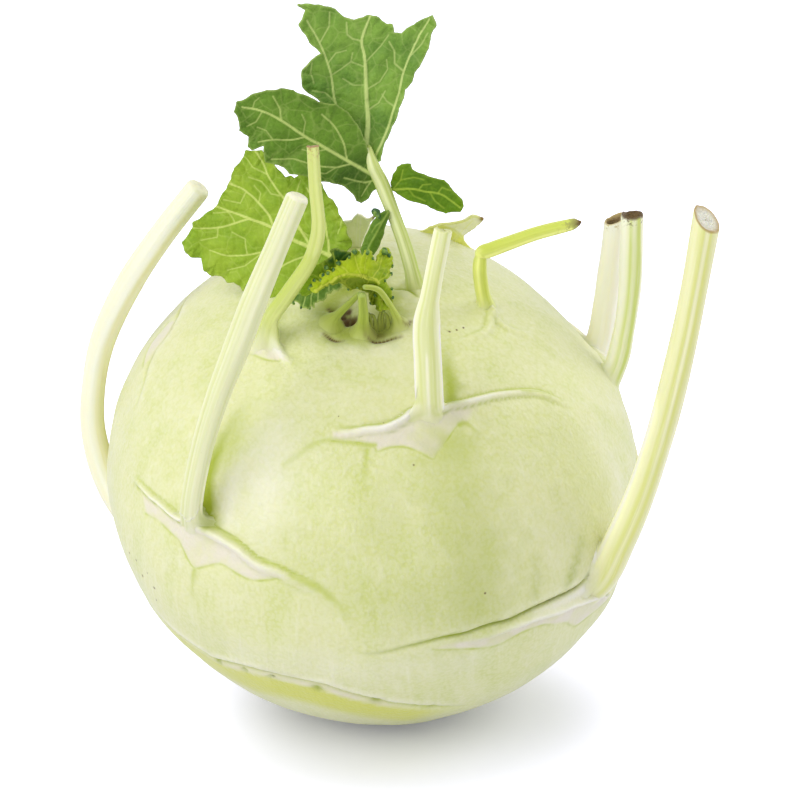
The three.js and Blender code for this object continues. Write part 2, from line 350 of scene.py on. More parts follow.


# The wings of the stalk feet: ridges that run round the bulb, with a thin green line painted on
# their crown side as the shade of the groove there. Heights are given along the path, above and below are
# half widths.
wings = (
    {"path": ((34.5, 30), (35, 37.5), (36, 42), (38, 50), (40.5, 57), (44.5, 64), (48, 68),
              (52, 70), (56.5, 72.5)),
     "heights": (0.9, 1.15, 1.0, 0.8, 0.65, 0.55, 0.4, 0.25, 0),
     "above": 0.45, "below": 0.7, "shelf": 0.12, "groove": 0.25, "pale": 0.8, "green": 0.8,
     "under": 0.6},
    {"path": ((33, 27), (32.5, 21), (33.5, 16.5), (34.5, 8.5), (34.5, 1), (35, -5.5), (35, -13)),
     "heights": (0.9, 1.3, 1.2, 0.95, 0.75, 0.5, 0),
     "above": 0.45, "below": 0.9, "shelf": 0.12, "groove": 0.25, "pale": 1.1, "green": 0.7,
     "under": 0.3},
    {"path": ((65, -47), (66.4, -51.4), (66.8, -55.4), (67.1, -58.3), (67.7, -61.2),
              (68.2, -64.3), (68.9, -67.8), (70, -71.3)),
     "heights": (0.8, 0.9, 0.9, 0.85, 0.75, 0.6, 0.35, 0),
     "above": 0.4, "below": 0.6, "shelf": 0.12, "groove": 0.2, "pale": 0.7, "green": 0.6,
     "under": 0.9},
    {"path": ((64.5, -45), (64.5, -37), (65, -32), (66.5, -27), (67, -21.5), (68, -18),
              (68.5, -15.5), (70, -11.5), (72, -9)),
     "heights": (0.8, 1.3, 1.3, 1.15, 0.95, 0.7, 0.4, 0.2, 0),
     "above": 0.4, "below": 1.3, "shelf": 0.15, "groove": 0.3, "pale": 0.45, "green": 0.9,
     "under": 0.25},
    {"path": ((24.5, -73), (22.5, -70), (22.5, -62.5), (22.5, -48.5)),
     "heights": (0.7, 0.9, 0.7, 0.1),
     "above": 0.6, "below": 0.9, "shelf": 0.1, "groove": 0.1, "pale": 1.0, "green": 0.3},
    {"path": ((32.5, 97), (32.5, 93), (31.5, 84), (28, 75), (24.5, 63.5)),
     "heights": (0.7, 0.55, 0.35, 0.2, 0),
     "above": 0.5, "below": 0.9, "shelf": 0.1, "groove": 0.1, "pale": 0.4, "green": 0.4},
    {"path": ((33, 94), (36.5, 90), (40.5, 90.5), (45, 90)),
     "heights": (0.6, 0.35, 0.2, 0),
     "above": 0.5, "below": 0.8, "shelf": 0, "groove": 0, "pale": 0.4, "green": 0.3},
    {"path": ((98.6, 57.6), (96.2, 54.2), (92.6, 48), (90.7, 44.6), (89.4, 40.6), (87.6, 36),
              (86.8, 31.1), (86.4, 25), (86, 17)),
     "heights": (0.5, 0.8, 0.85, 0.8, 0.75, 0.7, 0.55, 0.3, 0),
     "above": 0.6, "below": 0.9, "shelf": 0.15, "groove": 0, "pale": 1.0, "green": 0},
    {"path": ((96, 56), (92, 66), (90, 76), (90, 88), (91, 100)),
     "heights": (0.6, 0.8, 0.7, 0.5, 0),
     "above": 0.8, "below": 1.2, "shelf": 0.1, "groove": 0.15, "pale": 0.5, "green": 0.5},
    {"path": ((98, -101), (94, -108), (92, -116), (91, -126), (93, -138)),
     "heights": (1.4, 1.3, 1.0, 0.7, 0),
     "above": 0.8, "below": 1.3, "shelf": 0.15, "groove": 0.2, "pale": 0.9, "green": 0.7},
    {"path": ((76, 104), (77, 114), (79, 126), (83, 138)),
     "heights": (0.9, 1.1, 0.8, 0),
     "above": 0.8, "below": 1.2, "shelf": 0.15, "groove": 0.2, "pale": 0.9, "green": 0.7},
    # two old leaf scars round the back
    {"path": ((49, -139), (46, -146), (44.5, -154), (46, -164), (51, -177)),
     "heights": (0, 0.9, 1.3, 0.9, 0),
     "above": 0.8, "below": 1.3, "shelf": 0.15, "groove": 0.2, "pale": 0.9, "green": 0.7},
    {"path": ((104, 142), (99, 156), (97, 170), (98.5, 184), (103, 197)),
     "heights": (0, 0.9, 1.4, 0.9, 0),
     "above": 0.8, "below": 1.4, "shelf": 0.15, "groove": 0.2, "pale": 0.9, "green": 0.7},
)

# Narrow creases: a lip can overhang on the crown side. Green is how much olive is painted into the cleft as
# shade. Stain is how brown the cleft is.
creases = (
    {"path": ((87.4, 50.2), (87.7, 48), (87.5, 46), (86.6, 42), (85.5, 37), (85, 33), (85, 28.5),
              (84, 23.5), (84, 18.5), (83.5, 13.5), (84, 7), (85, 1.5), (85, -6)),
     "depths": (0.7, 1.1, 1.2, 1.1, 1.0, 0.9, 0.8, 0.6, 0.4, 0.3, 0.2, 0.1, 0),
     "width": 0.4, "lip": 0.2, "green": 1.2,
     "stain": (1.3, 1.4, 1.3, 0.9, 0.2, 0.1, 0.1, 0, 0, 0, 0, 0, 0)},
    {"path": ((100, -62), (99.5, -52), (99.5, -42.5), (100, -39), (98.5, -35), (96.5, -29),
              (95.5, -23.5), (95.5, -18.5), (96, -12), (98, -8), (100.5, -3), (103, 1.5),
              (105.5, 6.5), (109, 12.5), (113, 20)),
     "depths": (0, 0.3, 0.6, 0.7, 0.7, 0.7, 0.7, 0.7, 0.7, 0.7, 0.7, 0.6, 0.5, 0.3, 0),
     "width": 0.5, "lip": 0.5, "green": 0.5, "stain": (0, 0)},
    {"path": ((58.5, -127), (56.6, -121.5), (55, -117), (53.6, -112.5), (53.2, -107.7), (54.4, -104.1),
              (55.7, -101.5), (57.2, -97), (58.4, -92.6), (60.2, -88.9), (63, -86)),
     "depths": (0.2, 0.3, 0.4, 0.5, 0.6, 0.6, 0.6, 0.45, 0.3, 0.2, 0),
     "width": 0.4, "lip": 0.3, "green": 0.5,
     "stain": (0.5, 0.5, 0.5, 0.7, 0.9, 0.8, 0.6, 0.3, 0, 0, 0)},
    # brown clefts round the crown sprouts
    {"path": ((11.4, -52), (11.2, -44), (11, -36), (10.4, -25)), "depths": (0.1, 0.7, 0.7, 0.1),
     "width": 0.8, "lip": 0.05, "green": 0.6, "stain": (0.7, 1.4, 1.3, 0.5)},
    {"path": ((9.2, 9), (10.4, 19), (11, 30), (12, 40.5), (13.6, 48)), "depths": (0.1, 0.9, 0.8, 0.6, 0.1),
     "width": 0.8, "lip": 0.05, "green": 0.6, "stain": (1, 1.5, 1.4, 1.1, 0.5)},
    {"path": ((7.8, -99), (6.4, -90), (4.8, -88), (3.4, -104)), "depths": (0.4, 1.2, 1.2, 0.4),
     "width": 0.9, "lip": 0, "green": 0, "stain": (1.1, 1.1, 1, 0.8)},
    {"path": ((5, -58), (4, -42), (2.6, -20)), "depths": (0.5, 1.1, 0.5),
     "width": 0.6, "lip": 0, "green": 0, "stain": (1, 1, 0.8)},
    {"path": ((9.6, 60), (10.3, 66), (12.2, 62.5), (13.3, 71.6)), "depths": (0, 0.7, 0.6, 0),
     "width": 0.75, "lip": 0.1, "green": 0.3, "stain": (0.7, 1.3, 1.3, 0.8)},
    # the fine arc beside the leaf stalk
    {"path": ((10.6, 131), (12.6, 124.5), (14, 117), (15, 109)), "depths": (0.2, 0.5, 0.6, 0.3),
     "width": 0.4, "lip": 0.5, "green": 1.2, "stain": (0, 0)},
)

# Tints along lines: strength at each end, half width, and which tint. Some olive tints are painted shade and
# some pale ones are painted light, as marked where they stand.
tints = (
    # olive painted shade in the hollow along the right side of the left front stalk, where its shadow falls
    {"path": ((62.8, -42.4), (60.2, -44.8), (56.5, -47), (52.3, -49), (48.6, -50.3), (44.2, -51.5),
              (40, -51.6), (34.5, -53)),
     "strength": (1.25, 1.25, 1.2, 1.05, 0.85, 0.6, 0.35, 0.1), "width": 1.6, "mask": "olive"},
    {"path": ((60, -42.5), (54, -45.5), (48, -48), (42, -49.5), (37, -50)),
     "strength": (0, 0.15, 0.4, 0.5, 0.2), "width": 3.0, "mask": "olive"},
    {"path": ((38.5, 4), (37.5, -7), (37.5, -14.5), (39.5, -20), (42, -23), (45, -27)),
     "strength": (0.8, 0.3), "width": 0.55, "mask": "green"},
    {"path": ((40, 36), (40.5, 38.5), (44, 40.5)),
     "strength": (0.9, 0.3), "width": 0.5, "mask": "green"},
    {"path": ((39.5, 1), (43, 0), (46, -0.5), (49, -0.5)),
     "strength": (0.7, 0.1), "width": 0.5, "mask": "green"},
    {"path": ((43, 30), (46, 31), (50, 32)), "strength": (0.5, 0.1), "width": 3.5, "mask": "green"},
    {"path": ((67.5, -18.5), (68.5, -15), (69.5, -12), (71.5, -9.5), (73, -7.5), (76, -6)),
     "strength": (0.5, 0.75, 0.6, 0.2), "width": 0.75, "mask": "green"},
    {"path": ((75, -42.5), (78.5, -42.5), (84, -42.5)),
     "strength": (0.7, 0.1), "width": 0.7, "mask": "green"},
    # olive painted shade on the skin that rolls over above the crease by the right front stalk
    {"path": ((78, 51), (81, 48), (84, 44.5)), "strength": (0.3, 0.7), "width": 1.2, "mask": "olive"},
    {"path": ((74, 38), (78, 37), (82, 36)), "strength": (0.2, 0.4), "width": 1.3, "mask": "olive"},
    # olive painted shade in the hollow right of the front stalk, above its right wing
    {"path": ((24.5, 57), (27.5, 50), (30.5, 45), (33.5, 40)),
     "strength": (0.3, 0.75, 0.9, 0.9), "width": 1.8, "mask": "olive"},
    {"path": ((24, -81), (22.5, -83.5), (21, -89), (19, -97)),
     "strength": (0.9, 0.3), "width": 1.4, "mask": "olive"},
    # olive painted shade in the crown hollow between the left and middle sprouts
    {"path": ((7.5, -77), (6.4, -60), (6.2, -38), (4, -20)), "strength": (0.6, 0.8, 0.75, 0.6),
     "width": 1.7, "mask": "olive"},
    # pale painted light on the downward-facing band below the crease by the right front stalk
    {"path": ((89.5, 48), (88.9, 44.5), (88, 41), (87, 37.5), (86, 33)), "strength": (0.8, 0.6, 0.2),
     "width": 1.3, "mask": "pale"},
    # olive painted shade behind the left crown sprout, under the leaves
    {"path": ((8, -100), (8, -145), (8.5, 178)), "strength": (0.9, 0.8), "width": 3.2, "mask": "olive"},
    # olive painted shade in the hollow right of the middle sprout
    {"path": ((7.5, 22), (8.5, 36), (8.5, 52)), "strength": (0.6, 0.7), "width": 1.5, "mask": "olive"},
    {"path": ((44, 64), (49.5, 70), (53.5, 71.5)), "strength": (0.7, 0.3), "width": 0.5, "mask": "green"},
    {"path": ((12, -20), (13, 10), (14.5, 30)), "strength": (0.3, 0.3), "width": 2.2, "mask": "pale"},
    {"path": ((46, 27), (56, 25), (68, 24), (77, 22)),
     "strength": (0.28, 0.4), "width": 8, "mask": "olive"},
    # behind the crown sprouts: olive painted shade in the hollow there, and a brown band along it
    {"path": ((4.5, 0), (6.8, 16), (8.4, 30), (9, 42)), "strength": (0.8, 0.9, 0.9, 0.5), "width": 1.6,
     "mask": "olive"},
    {"path": ((6.4, 6), (8.2, 22), (9, 34)), "strength": (0.6, 0.8, 0.5), "width": 0.8, "mask": "stain"},
    {"path": ((60, -20), (70, 0), (74, 12)), "strength": (0.1, 0.22), "width": 7, "mask": "olive"},
    {"path": ((57, 62), (63, 61), (72, 59)), "strength": (0.2, 0.26, 0.2), "width": 6, "mask": "olive"},
    {"path": ((50, 4), (58, 3), (63, 6)), "strength": (0.16, 0.22, 0.14), "width": 6, "mask": "olive"},
    # pale painted light, lifting the grey shadow that the left front stalk casts to its right
    {"path": ((60.5, -38), (56.5, -39), (52, -39.5), (47, -39.5)), "strength": (0.5, 0.6, 0.55, 0.3),
     "width": 2.6, "mask": "pale"},
    {"path": ((58, -28), (50, -30), (42, -33)), "strength": (0.3, 0.5, 0.4), "width": 6, "mask": "pale"},
    {"path": ((68, 73), (76, 71), (84, 66)), "strength": (0.2, 0.35, 0.2), "width": 4, "mask": "pale"},
    {"path": ((92, -30), (90, 0), (92, 20)), "strength": (0.2, 0.2), "width": 5, "mask": "pale"},
)

# Pinkish white skin below the wings: its upper edge, and its lower edge with a green line
patches = (
    {"upper": ((69, -66), (68.5, -61.5), (67, -55.5), (65, -47), (64.5, -37), (65, -32),
               (66.5, -27), (67, -21.5), (68, -18)),
     "lower": ((69, -21.5), (71, -27), (71, -30.5), (70.5, -36), (72.5, -39.5), (74.5, -42.5),
               (73.5, -45), (71, -48.5), (71, -52), (71, -56.5), (72.5, -61.5))},
    {"upper": ((35, -13), (35, -5.5), (34.5, 1), (34.5, 8.5), (33.5, 16.5), (32.5, 21),
               (34, 28), (35, 37.5), (36, 42), (38, 50)),
     "lower": ((40.5, 39), (40, 35), (41.5, 30), (43.5, 24.5), (44.5, 22), (42, 18.5),
               (40, 14), (39.5, 8.5), (40, 4.5), (38.5, 3), (37.5, -4.5), (37.5, -12.5))},
    {"upper": ((24.5, -77), (22.5, -70), (22.5, -62.5), (22.5, -49)),
     "lower": ((24, -57), (26, -62), (28, -69.5), (29.5, -75))},
    {"upper": ((98.6, 57.6), (96.2, 54.2), (92.6, 48), (90.7, 44.6), (89.4, 40.6), (87.6, 36),
               (86.8, 31.1), (86.4, 25), (85, 14)),
     "lower": ((86, 11.5), (88.5, 19), (90.5, 25), (90, 31.5), (90.8, 35.9), (92.5, 38.6),
               (95.7, 42.9), (98.5, 44.8), (100.8, 47), (102, 52), (103.5, 59))},
    {"upper": ((91, -126), (92, -116), (94, -108), (98, -99)),
     "lower": ((104, -97), (103, -106), (99, -113), (96, -122))},
    {"upper": ((53.6, -113), (53.2, -107.7), (54.4, -104.1), (55.7, -101.5), (57, -98.5)),
     "lower": ((59.5, -98), (60, -103), (59.8, -108), (57.5, -114))},
    {"upper": ((50, -174), (46, -164), (44.5, -154), (46, -146), (49, -141)),
     "lower": ((52, -143), (54, -150), (54, -158), (53, -166))},
    {"upper": ((103, 145), (99, 156), (97, 170), (98.5, 184), (102, 194)),
     "lower": ((106, 186), (108, 174), (107, 162), (106, 152))},
)

# Swellings under the stalk feet and hollows beside them: down, around, size, height
mounds = (
    (34.5, 28, 3.6, 0.9), (66.5, -46.5, 3.0, 0.7), (24.5, -73, 2.4, 1.0), (32.5, 97, 2.4, 0.9),
    (97, 57, 4.8, 0.9), (100, -97, 4.0, 0.8), (76, 107, 3.4, 0.5), (75, 97, 3.0, 0.6),
    (107, 61, 4.5, 0.4),
    (16, 118, 2.2, 0.7), (8, -78, 1.6, 0.8), (3.8, -62, 1.8, -0.9), (7, 4, 2.2, 0.7), (9, 74, 1.6, 0.5),
    (60, -41, 3.2, -0.9), (29, 36, 3.4, -0.5), (28, 17, 3.4, -0.4), (22, -60, 3.0, -0.5),
    (7.5, -34, 2.4, -1.3), (8.2, 36, 2.8, -1.4), (5, 40, 4.5, -0.6), (83, 46, 4.0, 0.3),
    (26, 47, 3.0, -0.5), (47, -47, 4.5, -0.7),
)

# Corky brown marks: down, around, size
corky = (
    (6.2, -90, 0.8), (4.4, -82, 0.9), (2.8, -95, 0.8), (4, -60, 0.9), (3.2, -34, 0.8),
    (6.2, 34, 0.5), (7.2, 52, 0.45),
    (30.5, 28.5, 0.2), (87, -65.5, 0.24), (86.5, -62.5, 0.24), (89, -60, 0.24), (86, -57.5, 0.2),
    (88.5, -55, 0.28), (92.5, -55, 0.2), (23, 74, 0.22), (24.5, 77.5, 0.2), (26, 81, 0.22),
    (76, 24.5, 0.13), (31.5, -11, 0.1), (33.5, 8.5, 0.1), (44.5, 15.5, 0.2), (45, -146, 1.0),
    (97.5, 170, 1.2),
)

# Olive pits along the low scar: down, around, size, depth
pits = (
    (100.6, -38, 0.8, 0.35), (98.6, -30.5, 0.7, 0.35), (97.2, -23.5, 0.7, 0.35),
    (97.8, -13.5, 1.0, 0.5), (101.8, -1, 1.1, 0.5), (107.8, 11, 0.8, 0.35),
)


skinMasks = ("pale", "patch", "green", "stain", "olive", "woody", "low")


def bulbSkin(directions):
    # the finished skin in the given directions, and the masks that colour it
    base = centre + directions * plainReach(directions)[:, None]
    count = len(base)
    down, around = anglesOf(directions)
    lift = np.zeros(count)
    masks = {name: np.zeros(count) for name in skinMasks}
    normal = unit(directions)

    for size, height in bulbShape["uneven"]:
        lift += height * lumps(base, size, int(size))

    for at in mounds:
        spot = onBulb([at[:2]])[0]
        lift += at[3] * np.exp(-(np.linalg.norm(base - spot, axis=1) / at[2]) ** 2)

    def close(line, margin):
        low, high = line.min(0) - margin, line.max(0) + margin
        return np.where(((base > low) & (base < high)).all(1))[0]

    for wing in wings:
        line = onBulb(wing["path"], 8 * len(wing["path"]))
        pick = close(line, 14)
        d, f, spot, way = nearest(base[pick], line)
        upward = np.cross(way, normal[pick])
        upward *= np.sign(upward @ crownAxis)[:, None]
        side = np.sign(np.einsum("ij,ij->i", base[pick] - spot, upward))
        s = d * side
        h = alongList(wing["heights"], f)
        wide = np.where(s > 0, wing["above"], wing["below"])
        ridge = np.exp(-np.abs(s / wide) ** 2.6)
        shelf = wing["shelf"] * (1 - smoothStep(s, -0.6, 0.8)) * np.exp(-d / 3.5)
        groove = wing["groove"] * np.exp(-((s - 1.9 * wing["above"]) / (0.7 * wing["above"])) ** 2)
        lift[pick] += h * (ridge + shelf - groove)
        strength = smoothStep(h, 0.1, 1.1)
        masks["pale"][pick] = np.maximum(masks["pale"][pick],
                                         wing["pale"] * strength * np.exp(-(s / (0.9 * wide)) ** 2))
        # the thin green line on the crown side: painted shade of the groove above the ridge
        line2 = np.exp(-((s - 1.35 * wing["above"] - 0.1) / 0.26) ** 2)
        masks["green"][pick] = np.maximum(
            masks["green"][pick], wing["green"] * line2 * smoothStep(h, 0.0, 0.5))
        line3 = np.exp(-((s + 1.45 * wing["below"]) / 0.27) ** 2) * smoothStep(h, 0.0, 0.4)
        masks["green"][pick] = np.maximum(masks["green"][pick], wing.get("under", 0) * line3)
        lift[pick] -= 0.14 * line3

    for crease in creases:
        line = onBulb(crease["path"], 8 * len(crease["path"]))
        pick = close(line, 8)
        d, f, spot, way = nearest(base[pick], line)
        upward = np.cross(way, normal[pick])
        upward *= np.sign(upward @ crownAxis)[:, None]
        s = d * np.sign(np.einsum("ij,ij->i", base[pick] - spot, upward))
        h = alongList(crease["depths"], f)
        lift[pick] -= h * np.exp(-(s / crease["width"]) ** 2)
        lift[pick] += h * crease["lip"] * np.exp(-((s - 1.1) / 0.8) ** 2)
        brown = alongList(crease["stain"], f) * (0.65 + 0.35 * ripple(f * 9, 4))
        masks["stain"][pick] = np.maximum(masks["stain"][pick],
                                          brown * np.exp(-(s / (0.55 * crease["width"])) ** 2))
        # olive painted into the cleft as its shade
        masks["olive"][pick] = np.maximum(
            masks["olive"][pick],
            crease["green"] * np.clip(h / 0.5, 0, 1) * np.exp(-((s - 0.15) / 0.5) ** 2))
        masks["pale"][pick] = np.maximum(
            masks["pale"][pick], crease["lip"] * np.clip(h / 0.6, 0, 1) * np.exp(-((s - 1.4) / 0.7) ** 2))

    for tint in tints:
        line = onBulb(tint["path"], 8 * len(tint["path"]))
        pick = close(line, 3 * tint["width"])
        d, f, spot, way = nearest(base[pick], line)
        ragged = tint["width"] * (1 + 0.25 * lumps(base[pick], 3.0, 8))
        value = alongList(tint["strength"], f) * np.exp(-(d / ragged) ** 2)
        masks[tint["mask"]][pick] = np.maximum(masks[tint["mask"]][pick], value)

    # yellower skin under the low scar, with a pinkish band along it
    scar = onBulb(creases[1]["path"], 90)
    pick = close(scar, 12)
    d, f, spot, way = nearest(base[pick], scar)
    upward = np.cross(way, normal[pick])
    upward *= np.sign(upward @ crownAxis)[:, None]
    s = d * np.sign(np.einsum("ij,ij->i", base[pick] - spot, upward))
    inside = smoothStep(f, 0.02, 0.12) * (1 - smoothStep(f, 0.86, 0.99))
    masks["low"][pick] = inside * smoothStep(-s, 0.6, 2.4) * (1 - smoothStep(-s, 7, 12))
    strip = np.exp(-((s + 1.1) / 0.8) ** 2) * smoothStep(f, 0.12, 0.4) * (1 - smoothStep(f, 0.7, 0.85))
    masks["patch"][pick] = np.maximum(masks["patch"][pick], 0.9 * strip)
    edge = np.exp(-((s + 0.1) / 0.35) ** 2) * inside
    masks["green"][pick] = np.maximum(masks["green"][pick], 0.8 * edge * np.abs(1 - 1.6 * f))

    for patch in patches:
        outline = np.array(patch["upper"] + patch["lower"], float)
        middle = outline.mean(0)
        stretch = np.array((1.0, math.sin(math.radians(middle[0])))) * math.radians(49)
        turn = (around - middle[1] + 180) % 360 - 180
        flat = np.stack([down - middle[0], turn], 1) * stretch
        shape = (outline - middle) * stretch
        low, high = shape.min(0) - 3, shape.max(0) + 3
        pick = np.where(((flat > low) & (flat < high)).all(1))[0]
        d = nearest(flat[pick], np.concatenate([shape, shape[:1]]))[0]
        inward = np.where(insideOutline(flat[pick], shape), d, -d)
        masks["patch"][pick] = np.maximum(masks["patch"][pick], smoothStep(inward, -0.25, 0.8))
        edge = (np.array(patch["lower"], float) - middle) * stretch
        d = nearest(flat[pick], spline(edge, np.linspace(0, 1, 6 * len(edge))))[0]
        faint = 0.55 + 0.3 * lumps(base[pick], 4.0, 9)
        masks["green"][pick] = np.maximum(masks["green"][pick], faint * np.exp(-(d / 0.26) ** 2))
        lift[pick] -= 0.08 * np.exp(-(d / 0.35) ** 2)

    for at in corky:
        d = np.linalg.norm(base - onBulb([at[:2]])[0], axis=1)
        d = d * (1 + 0.35 * lumps(base, 1.6, 3))
        masks["stain"] = np.maximum(masks["stain"], np.exp(-(d / at[2]) ** 4))
        lift -= 0.3 * min(at[2], 1.2) * np.exp(-(d / at[2]) ** 2)

    for at in pits:
        d = np.linalg.norm(base - onBulb([at[:2]])[0], axis=1)
        masks["olive"] = np.maximum(masks["olive"], np.exp(-(d / at[2]) ** 2))
        lift -= at[3] * np.exp(-(d / at[2]) ** 2)

    # the trimmed root: a woody disc set in the skin at the lower pole
    away = np.radians(180 - down) * bulbShape["rootDepth"]
    rim = 8.5 + 0.5 * ripple(around / 360, 12)
    masks["woody"] = 1 - smoothStep(away, rim - 0.5, rim + 0.5)
    lift += -0.9 * (1 - smoothStep(away, rim - 1.0, rim)) + 0.35 * np.exp(-((away - rim - 0.6) / 0.9) ** 2)
    lift += 0.15 * masks["woody"] * np.sin(away * 4.5) * np.exp(-away / 8)

    reach = plainReach(directions) + lift
    floorReach = np.where(directions[:, 2] < -0.05,
                          -centre[2] / np.minimum(directions[:, 2], -0.05), 1e9)
    reach = np.minimum(reach, floorReach)
    return centre + directions * reach[:, None], masks


def skinGrain(directions):
    # millimetres round the bulb, and a short measure along its growth
    down, around = anglesOf(directions)
    waist = 50 * np.sin(np.radians(down))
    return np.stack([waist * np.cos(np.radians(around)), waist * np.sin(np.radians(around)),
                     down * 0.9 * 0.12], 1)


def buildBulb():
    bm = bmesh.new()
    bmesh.ops.create_uvsphere(bm, u_segments=bulbShape["meridians"],
                              v_segments=bulbShape["parallels"], radius=1.0)
    ball = np.array([v.co[:] for v in bm.verts])
    directions = unit(np.outer(ball[:, 0], bulbRight) + np.outer(ball[:, 2], crownAxis)
                      - np.outer(ball[:, 1], bulbFront))
    points = centre + directions * plainReach(directions)[:, None]
    for v, p in zip(bm.verts, points):
        v.co = p
    narrow = tuple(tint for tint in tints if tint["width"] < 0.8)
    lines = [onBulb(item["path"], 6 * len(item["path"])) for item in wings + creases + narrow]
    lines += [onBulb(patch["lower"], 4 * len(patch["lower"])) for patch in patches]
    lines += [onBulb([at[:2] for at in corky])]
    fine = np.concatenate(lines)
    for reach in bulbShape["refine"]:
        points = np.array([v.co[:] for v in bm.verts])
        cell = np.floor(points / 4).astype(int)
        busy = {tuple(c + (i, j, k)) for c in np.unique(np.floor(fine / 4).astype(int), axis=0)
                for i in (-1, 0, 1) for j in (-1, 0, 1) for k in (-1, 0, 1)}
        maybe = np.array([tuple(c) in busy for c in cell])
        close = np.zeros(len(points), bool)
        some = np.where(maybe)[0]
        for start in range(0, len(some), 4000):
            chunk = some[start:start + 4000]
            gap = np.linalg.norm(points[chunk, None] - fine[None], axis=2).min(1)
            close[chunk] = gap < reach
        edges = [e for e in bm.edges if close[e.verts[0].index] and close[e.verts[1].index]]
        bmesh.ops.subdivide_edges(bm, edges=edges, cuts=1, use_grid_fill=True)
        bm.verts.index_update()
    mesh = meshFrom(bm, "bulb_skin")
    directions = unit(getPoints(mesh) - centre)
    points, masks = bulbSkin(directions)
    setPoints(mesh, points * mm)
    for name, values in masks.items():
        setMask(mesh, name, values)
    setVector(mesh, "grain", skinGrain(directions))
    print("bulb:", len(mesh.polygons), "faces")
    return mesh


# Shader helpers and the effects that several finishes share

def addNode(tree, kind, **settings):
    node = tree.nodes.new(kind)
    for key, value in settings.items():
        setattr(node, key, value)
    return node


def plug(tree, value, socket):
    if isinstance(value, (int, float, tuple)):
        socket.default_value = value
    else:
        tree.links.new(value, socket)


def rgb(red, green, blue):
    # a colour as it looks, 0 to 255, in the shader's linear numbers
    def linear(c):
        c = c / 255.0
        return c / 12.92 if c <= 0.04045 else ((c + 0.055) / 1.055) ** 2.4
    return (linear(red), linear(green), linear(blue), 1.0)


def mixColor(tree, factor, a, b, blend="MIX"):
    node = addNode(tree, "ShaderNodeMix", data_type="RGBA", blend_type=blend)
    plug(tree, factor, node.inputs[0])
    plug(tree, a, node.inputs[6])
    plug(tree, b, node.inputs[7])
    return node.outputs[2]


def maths(tree, operation, a, b=0.0, clamp=False):
    node = addNode(tree, "ShaderNodeMath", operation=operation, use_clamp=clamp)
    plug(tree, a, node.inputs[0])
    plug(tree, b, node.inputs[1])
    return node.outputs[0]


def band(tree, value, low, high, lowTo=0.0, highTo=1.0):
    node = addNode(tree, "ShaderNodeMapRange", interpolation_type="SMOOTHSTEP")
    plug(tree, value, node.inputs["Value"])
    node.inputs["From Min"].default_value = low
    node.inputs["From Max"].default_value = high
    node.inputs["To Min"].default_value = lowTo
    node.inputs["To Max"].default_value = highTo
    return node.outputs["Result"]


def scaled(tree, vector, scale):
    node = addNode(tree, "ShaderNodeVectorMath", operation="MULTIPLY")
    plug(tree, vector, node.inputs[0])
    node.inputs[1].default_value = scale if isinstance(scale, tuple) else (scale,) * 3
    return node.outputs[0]


def noiseAt(tree, vector, scale, detail=3.0, roughness=0.5):
    node = addNode(tree, "ShaderNodeTexNoise")
    plug(tree, vector, node.inputs["Vector"])
    plug(tree, scale, node.inputs["Scale"])
    node.inputs["Detail"].default_value = detail
    node.inputs["Roughness"].default_value = roughness
    return node.outputs["Fac"]


def cellsAt(tree, vector, scale, feature="F1", output="Distance"):
    node = addNode(tree, "ShaderNodeTexVoronoi", feature=feature)
    plug(tree, vector, node.inputs["Vector"])
    plug(tree, scale, node.inputs["Scale"])
    return node.outputs[output]


def newGroup(name, inputs, outputs):
    group = bpy.data.node_groups.new(name, "ShaderNodeTree")
    for label, kind, default in inputs:
        socket = group.interface.new_socket(label, in_out="INPUT", socket_type=kind)
        if default is not None:
            socket.default_value = default
    for label, kind in outputs:
        group.interface.new_socket(label, in_out="OUTPUT", socket_type=kind)
    return group, group.nodes.new("NodeGroupInput").outputs, group.nodes.new("NodeGroupOutput").inputs


def useGroup(tree, group, values):
    node = addNode(tree, "ShaderNodeGroup", node_tree=group)
    for label, value in values.items():
        plug(tree, value, node.inputs[label])
    return node.outputs


def mask(tree, name, output="Fac"):
    return addNode(tree, "ShaderNodeAttribute", attribute_name=name).outputs[output]


def newFinish(name, roughness, specular=0.35, subsurface=0.0, bloom=0.0):
    material = bpy.data.materials.new(name)
    material.use_nodes = True
    tree = material.node_tree
    shader = tree.nodes["Principled BSDF"]
    shader.inputs["Roughness"].default_value = roughness
    shader.inputs["Specular IOR Level"].default_value = specular
    shader.inputs["Subsurface Weight"].default_value = subsurface
    shader.inputs["Subsurface Radius"].default_value = (1.0, 0.85, 0.4)
    shader.inputs["Subsurface Scale"].default_value = 0.0018
    shader.inputs["Sheen Weight"].default_value = bloom
    shader.inputs["Sheen Roughness"].default_value = 0.4
    return material, tree, shader


def bumpOf(tree, height, distance, strength=1.0, before=None):
    bump = addNode(tree, "ShaderNodeBump")
    bump.inputs["Strength"].default_value = strength
    bump.inputs["Distance"].default_value = distance
    plug(tree, height, bump.inputs["Height"])
    if before is not None:
        plug(tree, before, bump.inputs["Normal"])
    return bump.outputs["Normal"]


def makeFibres():
    # fine lines that run along the growth, from a vector whose last number is lengthwise
    group, given, out = newGroup(
        "fibres", (("Vector", "NodeSocketVector", None), ("Fineness", "NodeSocketFloat", 1.0)),
        (("Fine", "NodeSocketFloat"), ("Broad", "NodeSocketFloat")))
    plug(group, noiseAt(group, given["Vector"], given["Fineness"], 4.0, 0.6), out["Fine"])
    slow = maths(group, "MULTIPLY", given["Fineness"], 0.22)
    plug(group, noiseAt(group, given["Vector"], slow, 2.0, 0.5), out["Broad"])
    return group


